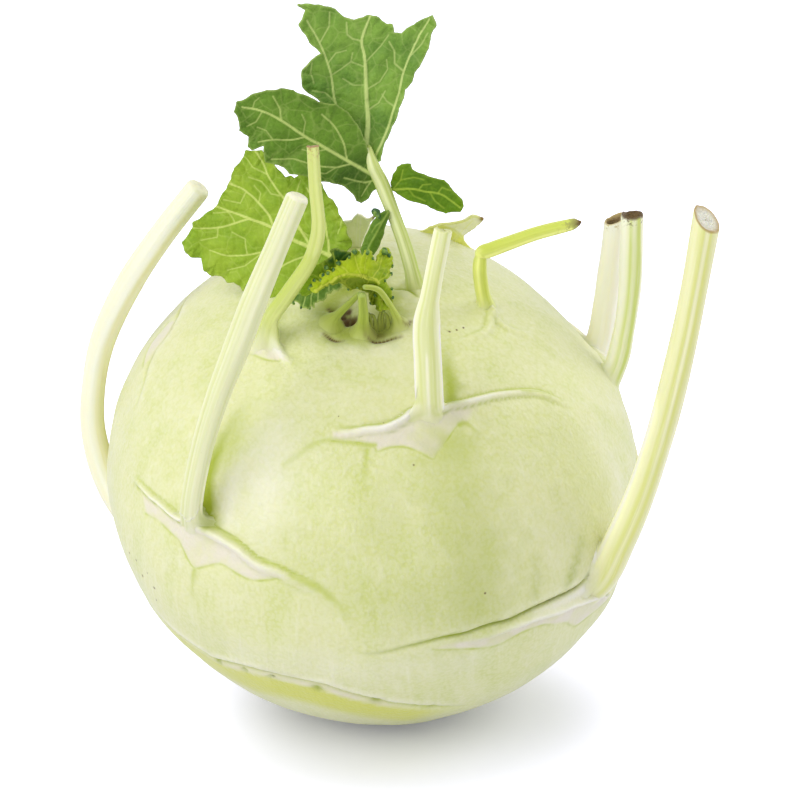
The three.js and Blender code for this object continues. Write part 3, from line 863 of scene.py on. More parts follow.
def makeDots():
    # scattered pores: small dots at random places, only where a patchy field lets them
    group, given, out = newGroup(
        "pores", (("Vector", "NodeSocketVector", None), ("Scale", "NodeSocketFloat", 200.0),
                  ("Size", "NodeSocketFloat", 0.1), ("Share", "NodeSocketFloat", 0.5)),
        (("Dots", "NodeSocketFloat"),))
    distance = cellsAt(group, given["Vector"], given["Scale"])
    chance = cellsAt(group, given["Vector"], given["Scale"], "F1", "Color")
    single = addNode(group, "ShaderNodeSeparateColor")
    plug(group, chance, single.inputs[0])
    wanted = maths(group, "LESS_THAN", single.outputs[0], given["Share"])
    nearness = maths(group, "SUBTRACT", 1.0, maths(group, "DIVIDE", distance, given["Size"]), clamp=True)
    plug(group, maths(group, "MULTIPLY", nearness, wanted), out["Dots"])
    return group


def makePebble():
    # shallow goose-flesh
    group, given, out = newGroup(
        "pebble", (("Vector", "NodeSocketVector", None), ("Scale", "NodeSocketFloat", 900.0)),
        (("Height", "NodeSocketFloat"),))
    cells = cellsAt(group, given["Vector"], given["Scale"], "SMOOTH_F1")
    bumps = maths(group, "SUBTRACT", 1.0, cells, clamp=True)
    rough = noiseAt(group, given["Vector"], maths(group, "MULTIPLY", given["Scale"], 0.6), 3.0)
    height = maths(group, "ADD", maths(group, "MULTIPLY", bumps, 0.6),
                   maths(group, "MULTIPLY", rough, 0.5))
    plug(group, height, out["Height"])
    return group


fibres, pores, pebble = makeFibres(), makeDots(), makePebble()

# olive also paints shade into creases, crown hollows and beside stalks; line also paints the shade of the
# groove above each wing; pale also paints light over some shaded skin
skinColors = {
    "base": rgb(224, 226, 165),
    "light": rgb(238, 238, 204),
    "green": rgb(205, 214, 124),
    "pale": rgb(250, 247, 234),
    "patch": rgb(232, 226, 204),
    "line": rgb(190, 202, 88),
    "olive": rgb(164, 178, 48),
    "low": rgb(215, 218, 100),
    "stain": rgb(104, 76, 38),
    "wood": rgb(196, 178, 132),
    "pore": rgb(176, 160, 98),
}


def makeSkinTint():
    # the colour and fine relief of the skin, shared by the bulb and the feet of the stalks
    group, given, out = newGroup(
        "kohlrabi_tint",
        (("Place", "NodeSocketVector", None), ("Grain", "NodeSocketVector", None),
         ("Pale", "NodeSocketFloat", 0.0), ("Patch", "NodeSocketFloat", 0.0),
         ("Green", "NodeSocketFloat", 0.0), ("Olive", "NodeSocketFloat", 0.0),
         ("Low", "NodeSocketFloat", 0.0), ("Woody", "NodeSocketFloat", 0.0),
         ("Stain", "NodeSocketFloat", 0.0)),
        (("Color", "NodeSocketColor"), ("Height", "NodeSocketFloat")))
    place, grain = given["Place"], given["Grain"]
    lines = useGroup(group, fibres, {"Vector": grain, "Fineness": 0.8})
    broad = noiseAt(group, place, 34.0, 4.0, 0.6)
    mottle = noiseAt(group, place, 190.0, 3.0, 0.6)
    color = mixColor(group, band(group, broad, 0.4, 0.72, 0, 0.5), skinColors["base"], skinColors["green"])
    color = mixColor(group, band(group, mottle, 0.42, 0.7, 0, 0.18), color, skinColors["light"])
    color = mixColor(group, band(group, lines["Fine"], 0.48, 0.75, 0, 0.45), color, skinColors["light"])
    color = mixColor(group, band(group, lines["Broad"], 0.48, 0.72, 0, 0.45), color, skinColors["green"])
    skin = useGroup(group, pebble, {"Vector": place, "Scale": 1650.0})["Height"]
    color = mixColor(group, band(group, skin, 0.42, 0.72, 0, 0.32), color, skinColors["light"])
    color = mixColor(group, given["Low"], color, skinColors["low"])
    patchTone = mixColor(group, band(group, mottle, 0.4, 0.65, 0, 0.5), skinColors["patch"],
                         skinColors["base"])
    color = mixColor(group, given["Patch"], color, patchTone)
    color = mixColor(group, given["Pale"], color, skinColors["pale"])
    color = mixColor(group, given["Green"], color, skinColors["line"])
    color = mixColor(group, given["Olive"], color, skinColors["olive"])
    dots = useGroup(group, pores, {"Vector": place, "Scale": 260.0, "Size": 0.055, "Share": 0.1})["Dots"]
    color = mixColor(group, maths(group, "MULTIPLY", dots, 0.7), color, skinColors["pore"])
    wood = mixColor(group, noiseAt(group, place, 700.0, 4.0), skinColors["wood"], skinColors["stain"])
    color = mixColor(group, given["Woody"], color, wood)
    color = mixColor(group, given["Stain"], color, skinColors["stain"])
    plug(group, color, out["Color"])
    relief = maths(group, "ADD", skin, maths(group, "MULTIPLY", lines["Fine"], 1.0))
    plug(group, relief, out["Height"])
    return group


skinTint = makeSkinTint()


def skinOf(tree, grainName="grain"):
    # the skin group fed from a mesh's own masks
    values = {name.capitalize(): mask(tree, name) for name in skinMasks}
    values["Place"] = addNode(tree, "ShaderNodeTexCoord").outputs["Object"]
    values["Grain"] = mask(tree, grainName, "Vector")
    return useGroup(tree, skinTint, values)


def bulbFinish():
    material, tree, shader = newFinish("kohlrabi_skin", 0.42, 0.3, 0.22, 0.32)
    skin = skinOf(tree)
    plug(tree, skin["Color"], shader.inputs["Base Color"])
    plug(tree, bumpOf(tree, skin["Height"], 0.0002, 0.75), shader.inputs["Normal"])
    return material


makePiece(buildBulb(), bulbFinish(), ["bulb"])


# Leaf stalks. A path and its widths run from inside the bulb to the cut end. Angles round
# a stalk start at its front side and go to its right. Ribs are (angle, spread, height as a
# share of the radius). Stripes are (angle, spread, strength), green above 0 and pale below,
# with the stretch they cover where it isn't the whole stalk. Flare is how far the foot
# spreads on the bulb, and lobes (angle, spread, reach) are where it spreads further. Peel
# is how far above the bulb the rind ends in a torn edge.

stalkLooks = {
    "stalk_left_outer": {
        "path": ((-46.6, 8, 31.5), (-52.7, 9, 40.2), (-55.4, 9, 51), (-54.8, 8, 61.5), (-52.3, 6.5, 71.5),
                 (-47.2, 5, 82), (-40.8, 3.5, 91.8), (-33.8, 2.1, 101)),
        "widths": (7, 5.2, 4.6, 4.5, 4.8, 5, 4.8, 4.5),
        "color": (249, 246, 216), "shade": (238, 234, 176), "foot": (240, 240, 206),
        "ribs": ((70, 30, 0.04), (-60, 35, 0.03)),
        "stripes": ((95, 26, 0.9, -1, 0.35), (100, 40, 0.5), (0, 30, -0.8), (35, 14, 0.3)),
        "cut": "rounded", "flare": 1.2, "lobes": ((90, 40, 1.2), (-90, 40, 1.5)),
    },
    "stalk_left_front": {
        "path": ((-33.2, -30, 45), (-33.1, -38.6, 54), (-30.9, -42, 65.5), (-28, -44, 75.5),
                 (-24.4, -45, 85), (-20.9, -46, 94.5), (-17, -46.5, 104), (-13.5, -47, 112.5)),
        "widths": (4.6, 3.6, 3.5, 3.8, 4.25, 4.25, 3.8, 3.6),
        "color": (236, 238, 196), "shade": (214, 220, 148), "foot": (232, 234, 190),
        "ribs": ((75, 25, 0.05), (-82, 11, 0.16), (-60, 9, -0.07)),
        "stripes": ((95, 45, 0.5), (10, 24, -0.5), (70, 14, -1.6, -1, 0.14), (-62, 12, 0.7), (-34, 7, 0.5),
                    (45, 8, 0.4)),
        "cut": "rounded", "flare": 0.35, "peel": 5.0, "rowsPerMm": 5.2,
        "lobes": ((60, 20, 2.2), (-115, 18, 2.6), (0, 42, 1.7)),
    },
    "stalk_left_inner": {
        "path": ((-21, -16, 75), (-19.5, -23.5, 83.5), (-16, -26, 89.5), (-12.5, -27, 95),
                 (-11, -27.5, 99), (-10.5, -27.5, 103), (-11, -27, 109), (-11.4, -26, 116.2)),
        "widths": (7, 3, 2.8, 2.7, 2.6, 2.4, 2.3, 2.1),
        "color": (212, 220, 136), "shade": (194, 209, 92), "foot": (228, 232, 186),
        "ribs": ((35, 22, 0.05), (-60, 30, 0.06)),
        "stripes": ((15, 26, -0.9), (80, 40, 0.5), (-60, 20, 0.4), (0, 200, 0.45, 0.08, 0.42),
                    (70, 14, -1.5, -1, 0.12)),
        "cut": "dried", "flare": 0.4, "lobes": ((37, 20, 3.6), (-30, 40, 2.2)),
    },
    "stalk_front": {
        "path": ((9.6, -29, 66), (9.1, -37, 73), (8.7, -40, 81.5), (8.5, -41.5, 89.5),
                 (9.6, -42.5, 97.2), (11.2, -43, 105.8)),
        "widths": (4.8, 4.5, 4.4, 4.4, 4.4, 4.4, 4.1, 3.05, 2.95, 2.9, 2.8), "flatness": 0.7,
        "color": (242, 244, 198), "shade": (218, 225, 138), "foot": (226, 231, 158),
        "ribs": ((82, 14, 0.13), (-82, 14, 0.13), (20, 12, 0.05), (-25, 12, 0.04)),
        "stripes": ((80, 15, -1.9, -1, 0.5), (-80, 15, -1.9, -1, 0.5), (84, 16, -1.0, 0.5, 2),
                    (-84, 16, -1.0, 0.5, 2), (30, 12, 0.7), (-38, 12, 0.7), (12, 7, 0.5),
                    (-4, 6, -1.0, -1, 0.3)),
        "cut": "peeled", "flare": 0.4, "lobes": ((103, 14, 2.8), (-60, 22, 5.2), (10, 45, 2.4)),
    },
    "stalk_bent": {
        "path": ((20.5, -7, 79), (19, -14, 85.5), (18.3, -17, 90.5), (18.3, -17.7, 93.2), (18.6, -18, 94.6),
                 (20.4, -18, 95.3), (23.3, -18.2, 96.5), (28.6, -18.8, 98.6), (34.5, -20, 100.5)),
        "widths": (5, 3.2, 2.7, 2.6, 2.55, 2.5, 2.4, 2.0, 2.7, 2.8, 2.7, 2.65, 2.6, 2.55, 2.5, 2.4, 2.1),
        "color": (226, 232, 128), "shade": (205, 217, 86), "foot": (228, 232, 172),
        "ribs": ((50, 20, 0.06), (-45, 22, 0.05)),
        "stripes": ((-62, 16, 0.7, -1, 0.36), (-18, 15, -1.2, -1, 0.36), (35, 26, 0.9, -1, 0.36),
                    (0, 200, -1.5, 0.37, 0.4), (-45, 42, 0.9, 0.44, 1.1), (32, 20, -1.1, 0.44, 1.1),
                    (84, 12, 1.4, 0.44, 1.1)),
        "cut": "torn", "flare": 0.5, "lobes": ((0, 50, 0.8),),
    },
    "stalk_right_back": {
        "path": ((37.5, 14, 56), (42, 14.5, 66.5), (43.3, 14, 75), (44, 13, 83),
                 (44.7, 12, 92.5)),
        "widths": (6, 5, 4.8, 4.4, 4.0), "slope": (0.5, -0.1),
        "color": (255, 251, 233), "shade": (250, 246, 210), "foot": (240, 240, 208),
        "ribs": ((20, 25, 0.05), (-50, 25, 0.04)), "stripes": ((35, 30, 0.25), (-15, 30, -0.4)),
        "cut": "hollow", "flare": 1.2,
    },
    "stalk_right_green": {
        "path": ((40, 2, 58), (44.5, 1.5, 66.5), (46, 0.7, 74), (46.8, 0, 82), (46.9, -1, 90),
                 (46.8, -2, 97)),
        "widths": (6, 4.3, 4.0, 4.2, 4.4, 4.1),
        "color": (248, 248, 216), "shade": (213, 225, 128), "foot": (232, 236, 190),
        "ribs": ((10, 16, 0.06), (45, 14, 0.05), (-50, 18, 0.05)),
        "stripes": ((32, 16, 1.0), (-10, 9, 0.7), (6, 6, -0.5), (75, 14, -0.2), (-50, 24, -0.9)),
        "cut": "browned", "flare": 1.0,
    },
    "stalk_right_front": {
        "path": ((34.5, -18, 27), (40.5, -25, 34.4), (43.8, -29, 43.2), (47.4, -31, 54), (50.7, -32.5, 67),
                 (53.4, -33.5, 80.5), (55.4, -34.5, 93.5), (57, -35, 105.5)),
        "widths": (7.4, 6.2, 5.6, 5.3, 5.0, 4.8, 4.7, 4.8), "slope": (-0.5, -0.6),
        "color": (240, 239, 190), "shade": (226, 229, 140), "foot": (240, 240, 206),
        "ribs": ((-30, 20, 0.04), (35, 20, 0.05), (85, 22, 0.05)),
        "stripes": ((-70, 26, -1.6, -1, 0.5), (-8, 12, 0.8), (22, 9, 0.9), (7, 6, -0.8), (44, 10, 0.4),
                    (75, 18, -1.5, -1, 0.5)),
        "cut": "pithy", "flare": 0.7, "lobes": ((-24, 30, 2.6), (50, 40, 1.4), (160, 20, 1.0)),
    },
    "leaf_petiole": {
        "path": ((7.5, -7, 81), (6, -13.5, 90), (4.5, -14, 95.5), (2.5, -13, 101), (0.5, -12.3, 106),
                 (-1, -12.5, 109.3), (-1.9, -12.2, 112.6)),
        "widths": (4.5, 2.7, 2.5, 2.5, 2.65, 2.5, 1.2),
        "color": (226, 232, 172), "shade": (184, 202, 86), "foot": (208, 216, 128),
        "ribs": ((45, 20, 0.07), (-45, 20, 0.07)),
        "stripes": ((-8, 18, -0.9), (65, 24, 0.9), (-65, 24, 0.9), (25, 10, 0.5)),
        "cut": "none", "flare": 0.6,
    },
    "left_leaf_petiole": {
        "path": ((-4.5, -8, 84), (-6, -12, 88), (-7, -13.4, 90), (-8, -14, 91.5)),
        "widths": (3, 2, 1.9, 1.9),
        "color": (184, 200, 104), "shade": (156, 180, 66), "foot": (196, 206, 112),
        "ribs": ((45, 20, 0.07), (-45, 20, 0.07)), "stripes": ((0, 18, 0.6),),
        "cut": "none", "flare": 0.5,
    },
    "crown_sprout_left": {
        "path": ((-9.4, -17.5, 81), (-7.9, -20.6, 83.3), (-6.4, -22.6, 85.4), (-4.9, -24, 87.3),
                 (-3.5, -25.2, 89)),
        "widths": (3.2, 1.7, 1.4, 1.2, 1.0),
        "color": (172, 188, 78), "shade": (142, 162, 50), "foot": (196, 206, 112),
        "ribs": ((45, 22, 0.08), (-45, 22, 0.08)), "stripes": ((0, 20, 0.6), (60, 20, -0.5)),
        "cut": "none", "flare": 0.9, "lobes": ((-90, 50, 1.4), (0, 40, 0.8)),
    },
    "crown_sprout_middle": {
        "path": ((-2.9, -18, 78.5), (-2.8, -23.2, 82.9), (-2.7, -25.2, 85.6), (-2.9, -26.3, 89.1)),
        "widths": (3.8, 2.2, 1.8, 1.5),
        "color": (178, 194, 82), "shade": (148, 168, 52), "foot": (204, 214, 124),
        "ribs": ((45, 22, 0.08), (-45, 22, 0.08)), "stripes": ((0, 20, 0.6), (60, 20, -0.5)),
        "cut": "none", "flare": 1.5,
    },
    "crown_sprout_right": {
        "path": ((4.8, -17, 79), (3.5, -21.3, 83), (2.3, -23.2, 85.9), (1.3, -24.3, 88), (0.2, -25.2, 89.7),
                 (-1, -26, 90.5), (-2.4, -26.5, 90.8)),
        "widths": (2.8, 1.6, 1.2, 1.1, 1.05, 1, 0.9),
        "color": (190, 204, 98), "shade": (162, 178, 56), "foot": (196, 204, 104),
        "ribs": ((45, 22, 0.08), (-45, 22, 0.08)), "stripes": ((0, 20, 0.6), (60, 20, -0.5)),
        "cut": "none", "flare": 1.1,
    },
}

# How a cut end is closed, from rim to middle: (share of radius, height as a share of it)
cutShapes = {
    "rounded": ((0.99, 0.08), (0.94, 0.22), (0.85, 0.34), (0.7, 0.42), (0.45, 0.46), (0.2, 0.47)),
    "dried": ((1.04, 0.06), (1.0, 0.2), (0.85, 0.26), (0.7, 0.15), (0.4, 0.05), (0.2, 0.05)),
    "peeled": ((1.0, 0.05), (0.95, 0.12), (0.85, 0.15), (0.6, 0.1), (0.3, 0.1), (0.15, 0.1)),
    "torn": ((0.98, 0.1), (0.9, 0.5), (0.7, 0.9), (0.45, 1.3), (0.2, 1.5), (0.1, 1.6)),
    "hollow": ((0.99, 0.08), (0.92, 0.14), (0.82, 0.08), (0.72, -0.35), (0.55, -0.85), (0.25, -0.95)),
    "browned": ((0.99, 0.1), (0.92, 0.22), (0.8, 0.2), (0.68, -0.05), (0.45, -0.25), (0.2, -0.3)),
    "pithy": ((0.99, 0.06), (0.94, 0.12), (0.84, 0.1), (0.7, 0.02), (0.45, 0.08), (0.2, 0.04)),
    "none": ((0.98, 0.15), (0.9, 0.4), (0.75, 0.65), (0.5, 0.85), (0.25, 0.95), (0.1, 1.0)),
}
stalkMesh = {"sides": 64, "footRows": 16, "rowsPerMm": 2.6, "sink": 0.1}


def stalkPoint(look, t, angle):
    # a point on the stalk's side at t along it, 0 to 1, and at an angle round it
    t, angle = np.broadcast_arrays(np.asarray(t, float), np.asarray(angle, float))
    here = spline(look["path"], t)
    tangent = unit(spline(look["path"], t + 0.004) - spline(look["path"], t - 0.004))
    side = unit(np.cross(tangent, (0.0, -1.0, 0.0)))
    outward = np.cross(side, tangent)
    radius = alongList(look["widths"], t) / 2
    turn = np.degrees(angle)
    shape = np.ones_like(radius)
    for at, spread, height in look["ribs"]:
        off = (turn - at + 180) % 360 - 180
        shape = shape + height * np.exp(-(off / spread) ** 2)
    shape = shape + 0.012 * np.sin(angle * 9 + 3 * np.sin(t * 5)) + 0.02 * np.sin(t * 17 + angle * 2)
    radius = radius * shape
    return (here + side * (radius * np.sin(angle))[..., None]
            + outward * (radius * np.cos(angle) * look.get("flatness", 1))[..., None]), tangent


def buildStalk(name, look):
    sides, footRows = stalkMesh["sides"], stalkMesh["footRows"]
    angles = np.linspace(0, 2 * math.pi, sides + 1)
    # where each side line of the stalk leaves the bulb
    tries = np.linspace(0, 0.75, 181)
    lines, _ = stalkPoint(look, tries[:, None], angles[None, :])
    flat = lines.reshape(-1, 3) - centre
    height = np.linalg.norm(flat, axis=1) - plainReach(unit(flat))
    height = height.reshape(len(tries), -1)
    under = height < 0.25
    last = np.array([np.where(under[:, j])[0].max() if under[:, j].any() else 0
                     for j in range(len(angles))])
    last = np.minimum(last, len(tries) - 2)
    tCross = tries[last]
    corner, _ = stalkPoint(look, tCross, angles)
    middle = corner[:-1].mean(0)
    normal = unit(corner - centre)
    outward = corner - middle
    outward = unit(outward - np.einsum("ij,ij->i", outward, normal)[:, None] * normal)
    flare = np.full(len(angles), float(look["flare"]))
    for at, spread, reach in look.get("lobes", ()):
        off = (np.degrees(angles) - at + 180) % 360 - 180
        flare += reach * np.exp(-(off / spread) ** 2)
    rim = corner + outward * flare[:, None]
    rim, _ = bulbSkin(unit(rim - centre))
    rim = rim - unit(rim - centre) * stalkMesh["sink"]
    length = np.linalg.norm(np.diff(spline(look["path"], np.linspace(0, 1, 80)), axis=0), axis=1).sum()
    tTop = np.minimum(tCross + (1.1 * flare + 0.5) / length, 0.9)
    top, _ = stalkPoint(look, tTop, angles)
    k = np.linspace(0, 1, footRows)[:, None, None]
    foot = (1 - k) ** 2 * rim + 2 * k * (1 - k) * corner + k ** 2 * top
    rowsPerMm = look.get("rowsPerMm", stalkMesh["rowsPerMm"])
    shaftRows = int(length * rowsPerMm)
    v = np.linspace(0, 1, shaftRows)[1:, None]
    shaftT = tTop[None, :] + (1 - tTop[None, :]) * v
    shaft, tangent = stalkPoint(look, shaftT, np.broadcast_to(angles, shaftT.shape))
    end, endTangent = shaft[-1], tangent[-1]
    endMiddle = spline(look["path"], np.array([1.0]))[0]
    radius = look["widths"][-1] / 2
    # a sloping or ragged end: the last rows are stretched along the stalk
    ragged = {"torn": 0.5, "dried": 0.16, "hollow": 0.14, "browned": 0.18, "pithy": 0.12,
              "peeled": 0.3, "rounded": 0.03, "none": 0.0}[look["cut"]]
    slope = look.get("slope", (0, 0))
    reachOut = (slope[0] * np.sin(angles) + slope[1] * np.cos(angles)) * radius
    jag = sum(np.sin(angles * n + n * 2.3) / n for n in (2, 3, 5, 7, 9))
    reachOut = reachOut + ragged * radius * jag * 0.6
    near = smoothStep(v, 1 - 1.2 * (abs(slope[0]) + abs(slope[1]) + 0.4) * 2 * radius / length, 1.0)
    shaft = shaft + tangent * (near * reachOut[None, :])[..., None]
    end = shaft[-1]
    rings = []
    for share, rise in cutShapes[look["cut"]] + ((0.0, cutShapes[look["cut"]][-1][1]),):
        ring = endMiddle + (end - endMiddle) * share
        bite = 0.12 * ragged * radius * (1 - share) * 4 * np.sin(angles * 3 + 8 * share)
        rings.append(ring + endTangent * (rise * radius + bite)[:, None])
    rows = np.concatenate([foot, shaft, np.array(rings)])
    peelRows = footRows + 60
    if "peel" in look:
        # the rind ends in a ragged edge above the foot
        above = np.linalg.norm(rows - corner[None], axis=2) * np.sign(
            np.einsum("ijk,ijk->ij", rows - corner[None], np.broadcast_to(normal, rows.shape)))
        edge = look["peel"] + 0.9 * ripple(angles / 6.2832 * 3, 5) + 0.4 * ripple(angles / 6.2832 * 11, 6)
        gap = above[:peelRows] - edge[None, :]
        front = np.clip(np.cos(angles + 0.4) + 0.4, 0, 1)[None, :, None]
        away = unit(rows[:peelRows] - rows[:peelRows].mean(1, keepdims=True))
        rows[:peelRows] += away * front * (0.26 * np.exp(-((gap - 0.3) / 0.35) ** 2))[..., None]
        torn = np.exp(-((gap - 0.1) / 0.24) ** 2) * front[..., 0]
    mesh = gridMesh(name + "_grown", sides, len(rows) - 1)
    place = getPoints(mesh)
    column = np.rint(place[:, 0] * sides).astype(int)
    row = np.rint(place[:, 1] * (len(rows) - 1)).astype(int)
    setPoints(mesh, rows[row, column % sides] * mm)
    shaftEnd = footRows + len(shaft)
    setMask(mesh, "foot", 1 - smoothStep(row, 1, footRows * 1.25))
    ways = unit(rows[row, column % sides] - centre)
    _, masks = bulbSkin(ways[row <= 2 * footRows])
    for maskName in skinMasks:
        values = np.zeros(len(row))
        values[row <= 2 * footRows] = masks[maskName]
        setMask(mesh, maskName, values)
    setVector(mesh, "skinGrain", skinGrain(ways))
    peeling = np.zeros(len(row))
    if "peel" in look:
        low = row < peelRows
        peeling[low] = torn[row[low], column[low] % sides]
    setMask(mesh, "peeling", peeling)
    setMask(mesh, "cut", smoothStep(row, shaftEnd - 1, shaftEnd + 1))
    setMask(mesh, "core", smoothStep(row, shaftEnd + 1, shaftEnd + 4))
    setMask(mesh, "top", smoothStep(row, shaftEnd - 9, shaftEnd))
    turn = np.degrees(angles[column])
    stripe = np.zeros(len(column))
    along = np.clip((row - footRows) / len(shaft), 0, 1)
    for at, spread, strength, *stretch in look["stripes"]:
        start, end = stretch or (-1, 2)
        part = smoothStep(along, start - 0.04, start + 0.04) * (1 - smoothStep(along, end - 0.04, end + 0.04))
        stripe += strength * part * np.exp(-(((turn - at + 180) % 360 - 180) / spread) ** 2)
    setMask(mesh, "stripe", stripe)
    lengthwise = np.clip(row, 0, shaftEnd) / rowsPerMm
    setVector(mesh, "grain", np.stack([4 * np.sin(angles[column]), 4 * np.cos(angles[column]),
                                       0.06 * lengthwise], 1))
    weld(mesh)
    return mesh


cutColors = {
    "rounded": ((244, 242, 212), (240, 238, 206)), "dried": ((170, 122, 88), (212, 190, 150)),
    "peeled": ((228, 232, 170), (224, 228, 160)), "torn": ((172, 174, 92), (118, 86, 50)),
    "hollow": ((196, 176, 120), (120, 96, 58)), "browned": ((92, 72, 44), (126, 102, 58)),
    "pithy": ((176, 150, 92), (244, 243, 226)), "none": ((176, 196, 100), (176, 196, 100)),
}


def stalkFinish(name, look):
    material, tree, shader = newFinish(name + "_rind", 0.4, 0.3, 0.2, 0.15)
    place = addNode(tree, "ShaderNodeTexCoord").outputs["Object"]
    lines = useGroup(tree, fibres, {"Vector": mask(tree, "grain", "Vector"), "Fineness": 1.6})
    base, shade = rgb(*look["color"]), rgb(*look["shade"])
    light = rgb(*[min(252, c + 16) for c in look["color"]])
    stripe = mask(tree, "stripe")
    color = mixColor(tree, band(tree, lines["Broad"], 0.42, 0.72, 0, 0.6), base, shade)
    color = mixColor(tree, band(tree, stripe, 0.0, 1.0), color, shade)
    color = mixColor(tree, band(tree, maths(tree, "MULTIPLY", stripe, -1.0), 0.0, 1.0), color, light)
    color = mixColor(tree, band(tree, lines["Fine"], 0.5, 0.78, 0, 0.35), color, light)
    dots = useGroup(tree, pores, {"Vector": place, "Scale": 420.0, "Size": 0.07, "Share": 0.06})["Dots"]
    color = mixColor(tree, maths(tree, "MULTIPLY", dots, 0.6), color, skinColors["pore"])
    rim, core = cutColors[look["cut"]]
    grime = noiseAt(tree, place, 1500.0, 4.0, 0.6)
    dry = look["cut"] in ("torn", "dried", "browned", "hollow")
    if dry:
        wilt = maths(tree, "MULTIPLY", mask(tree, "top"), band(tree, grime, 0.5, 0.66))
        color = mixColor(tree, wilt, color, rgb(*rim))
    darker = 0.8 if dry else 0.95
    core = mixColor(tree, band(tree, grime, 0.45, 0.7), rgb(*core), rgb(*[c * darker for c in core]))
    cutColor = mixColor(tree, mask(tree, "core"), rgb(*rim), core)
    color = mixColor(tree, mask(tree, "cut"), color, cutColor)
    skin = skinOf(tree, "skinGrain")
    footColor = mixColor(tree, 0.35, skin["Color"], rgb(*look["foot"]))
    color = mixColor(tree, mask(tree, "foot"), color, footColor)
    palest = band(tree, maths(tree, "MULTIPLY", stripe, -1.0), 1.0, 1.7)
    color = mixColor(tree, palest, color, skinColors["pale"])
    color = mixColor(tree, mask(tree, "peeling"), color, skinColors["pale"])
    plug(tree, color, shader.inputs["Base Color"])
    normal = bumpOf(tree, lines["Fine"], 0.0002, 0.4)
    if look["cut"] != "rounded":
        spongy = maths(tree, "MULTIPLY", cellsAt(tree, place, 2600.0), mask(tree, "core"))
        normal = bumpOf(tree, spongy, 0.0004, 0.8, normal)
    plug(tree, normal, shader.inputs["Normal"])
    return material


for name, look in stalkLooks.items():
    makePiece(buildStalk(name, look), stalkFinish(name, look), [name])

# young stems still tucked between the sprouts, bent over at the top
innerStems = (
    ((-1.4, -21.4, 81), (-1.4, -22.4, 83), (-1.6, -22.8, 84.4), (-2.1, -22.8, 84.9)),
    ((-0.5, -20.6, 81), (-0.6, -22, 83), (-1, -22.5, 84.2), (-1.7, -22.8, 84.5)),
    ((0.1, -20, 81), (0.1, -21.6, 83.2), (0.3, -22, 84.6), (0.2, -22.4, 85.3)),
    ((0.7, -19.6, 81), (0.6, -21.4, 83.3), (0.9, -22, 84.8), (0.8, -22.4, 85.8)),
    ((2, -19.8, 80.8), (1.7, -21.4, 83), (1.4, -22, 84.2), (0.9, -22.4, 84.8)),
)
innerLook = {
    "widths": (1.1, 0.66, 0.56, 0.4), "ribs": ((60, 30, 0.08),), "stripes": ((0, 30, -0.5), (70, 40, 0.7)),
    "color": (156, 168, 70), "shade": (106, 120, 34), "foot": (132, 142, 62), "cut": "none", "flare": 0.25,
}
innerRind = stalkFinish("inner_stem", innerLook)
for number, path in enumerate(innerStems):
    look = dict(innerLook, path=path)
    makePiece(buildStalk("inner_stem_%d" % number, look), innerRind, [])
print("stalks are grown")


# Leaf blades. An outline and veins are [x, z] pairs and depth gives y. A vein is its half
# width at its foot and at its tip, and its points. Bulge is how far the blade swells
# between the veins, and ruffle is (height, waves round the margin, how far in it reaches).

